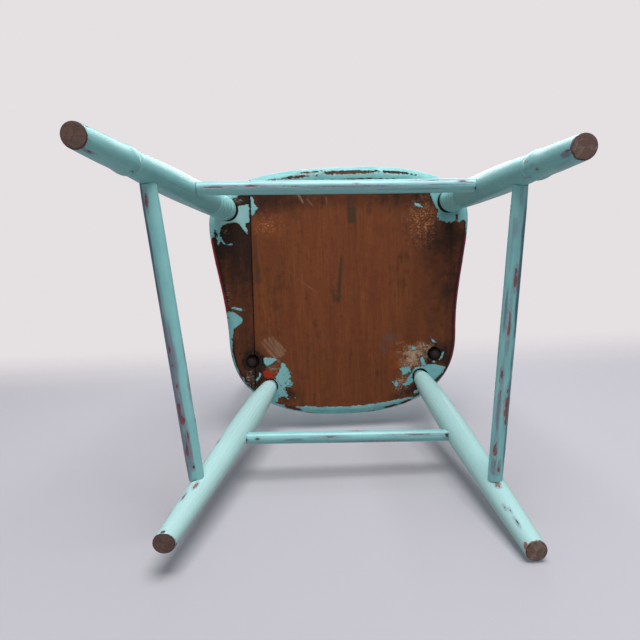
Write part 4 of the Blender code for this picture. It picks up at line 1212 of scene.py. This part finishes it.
# Stage: a floor under the feet, and a sheet behind the chair's back, on which it lies in
# the photograph. Each shows only from its front, and the sheet fades out upwards.
stage = dict(floor=colour(222, 219, 226), glow=colour(134, 132, 138), sheet=colour(190, 187, 194),
             beyond=colour(229, 224, 226), soft=(0.93, 0.96, 1.0, 1), softStrength=0.34,
             halfWidth=3.0, sheetLow=-2.2, sheetHigh=1.2, sheetGap=0.0015, fadeLow=0.60, fadeHigh=1.02)
unlit = (0, 0, 0, 1)


def stageFinish(name, base, glow=unlit, fades=False):
    # The glow is the floor's own light, which only the camera sees.
    m = Finish(name)
    hidden = m.node("ShaderNodeNewGeometry", output="Backfacing")
    if fades:
        where = m.node("ShaderNodeTexCoord", output="Object")
        height = m.node("ShaderNodeSeparateXYZ", None, {0: where}, output="Z")
        hidden = hidden.most(height.step(stage["fadeLow"], stage["fadeHigh"]))
    seen = m.node("ShaderNodeLightPath", output="Is Camera Ray")
    values = {"Base Color": base, "Roughness": 0.9, "Specular IOR Level": 0.1,
              "Emission Color": m.mix(unlit, glow, seen), "Emission Strength": 1.0}
    shader = m.node("ShaderNodeBsdfPrincipled", None, values)
    clear = m.node("ShaderNodeBsdfTransparent")
    mixed = m.node("ShaderNodeMixShader", None, {0: hidden, 1: shader, 2: clear})
    m.node("ShaderNodeOutputMaterial", None, {"Surface": mixed})
    return m.material


def addSheet(name, near, far, finish):
    # A flat sheet between two lines across the stage, each given by its y and z.
    half = stage["halfWidth"]
    mesh = bpy.data.meshes.new(name)
    corners = [(-half, *near), (half, *near), (half, *far), (-half, *far)]
    mesh.from_pydata(corners, [], [(0, 1, 2, 3)])
    mesh.materials.append(finish)
    obj = addObject(name, mesh)
    for rays in ("shadow", "diffuse", "glossy"):
        setattr(obj, "visible_" + rays, False)


def backLine(z):
    # Where the back sheet is at a height: it touches the hoop's top and the rear foot.
    rearFoot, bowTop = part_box("leg_rear_right")[1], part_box("bow")[1]
    return (rearFoot.y + (bowTop.y - rearFoot.y) / bowTop.z * z + stage["sheetGap"], z)


addSheet("floor", (-stage["halfWidth"], 0), (stage["halfWidth"], 0),
         stageFinish("floor cloth", stage["floor"], stage["glow"]))
addSheet("back_sheet", backLine(stage["sheetLow"]), backLine(stage["sheetHigh"]),
         stageFinish("sheet cloth", stage["sheet"], fades=True))


def addLamp(name, place, aim, size, power):
    light = bpy.data.lights.new(name, "AREA")
    light.shape = "SQUARE"
    light.size = size
    light.energy = power
    turn = (Vector(aim) - Vector(place)).to_track_quat("-Z", "Y")
    addObject(name, light).matrix_world = Matrix.Translation(place) @ turn.to_matrix().to_4x4()


addLamp("key", place=(0.25, -2.2, -0.15), aim=(0, 0.1, 0.3), size=1.5, power=56)
addLamp("top", place=(0.3, -0.8, 2.6), aim=(0, 0, 0.4), size=1.6, power=17)


def makeWorld():
    # Soft light for the chair, and a plain background that only the camera sees.
    world = bpy.data.worlds.new("studio")
    bpy.context.scene.world = world
    world.use_nodes = True
    tree = world.node_tree
    tree.nodes.clear()
    path = tree.nodes.new("ShaderNodeLightPath")
    mixed = tree.nodes.new("ShaderNodeMixShader")
    out = tree.nodes.new("ShaderNodeOutputWorld")
    tree.links.new(path.outputs["Is Camera Ray"], mixed.inputs[0])
    backgrounds = ((stage["soft"], stage["softStrength"]), (stage["beyond"], 1.0))
    for slot, (tone, strength) in enumerate(backgrounds, 1):
        light = tree.nodes.new("ShaderNodeBackground")
        light.inputs["Color"].default_value = tone
        light.inputs["Strength"].default_value = strength
        tree.links.new(light.outputs[0], mixed.inputs[slot])
    tree.links.new(mixed.outputs[0], out.inputs["Surface"])


makeWorld()

# The photograph's viewpoint, from the seat's centre line and front edge.
view = dict(fromSeat=(-0.0394, 0.0364, -0.5458), right=(0.99908, 0.04135, -0.01100),
            down=(-0.04276, 0.97384, -0.22320), ahead=(0.00148, 0.22346, 0.97471),
            lens=31.739, sensor=36.0)


def makeCamera():
    data = bpy.data.cameras.new("camera")
    data.lens = view["lens"]
    data.sensor_width = view["sensor"]
    right, down, ahead, offset = (Vector(view[key]) for key in ("right", "down", "ahead", "fromSeat"))
    turn = Matrix((right, -down, -ahead)).transposed()
    camera = addObject("camera", data)
    camera.matrix_world = Matrix.Translation(Vector((middleX, frontY, 0)) + offset) @ turn.to_4x4()
    bpy.context.scene.camera = camera


makeCamera()
bpy.context.scene.view_settings.view_transform = "Standard"
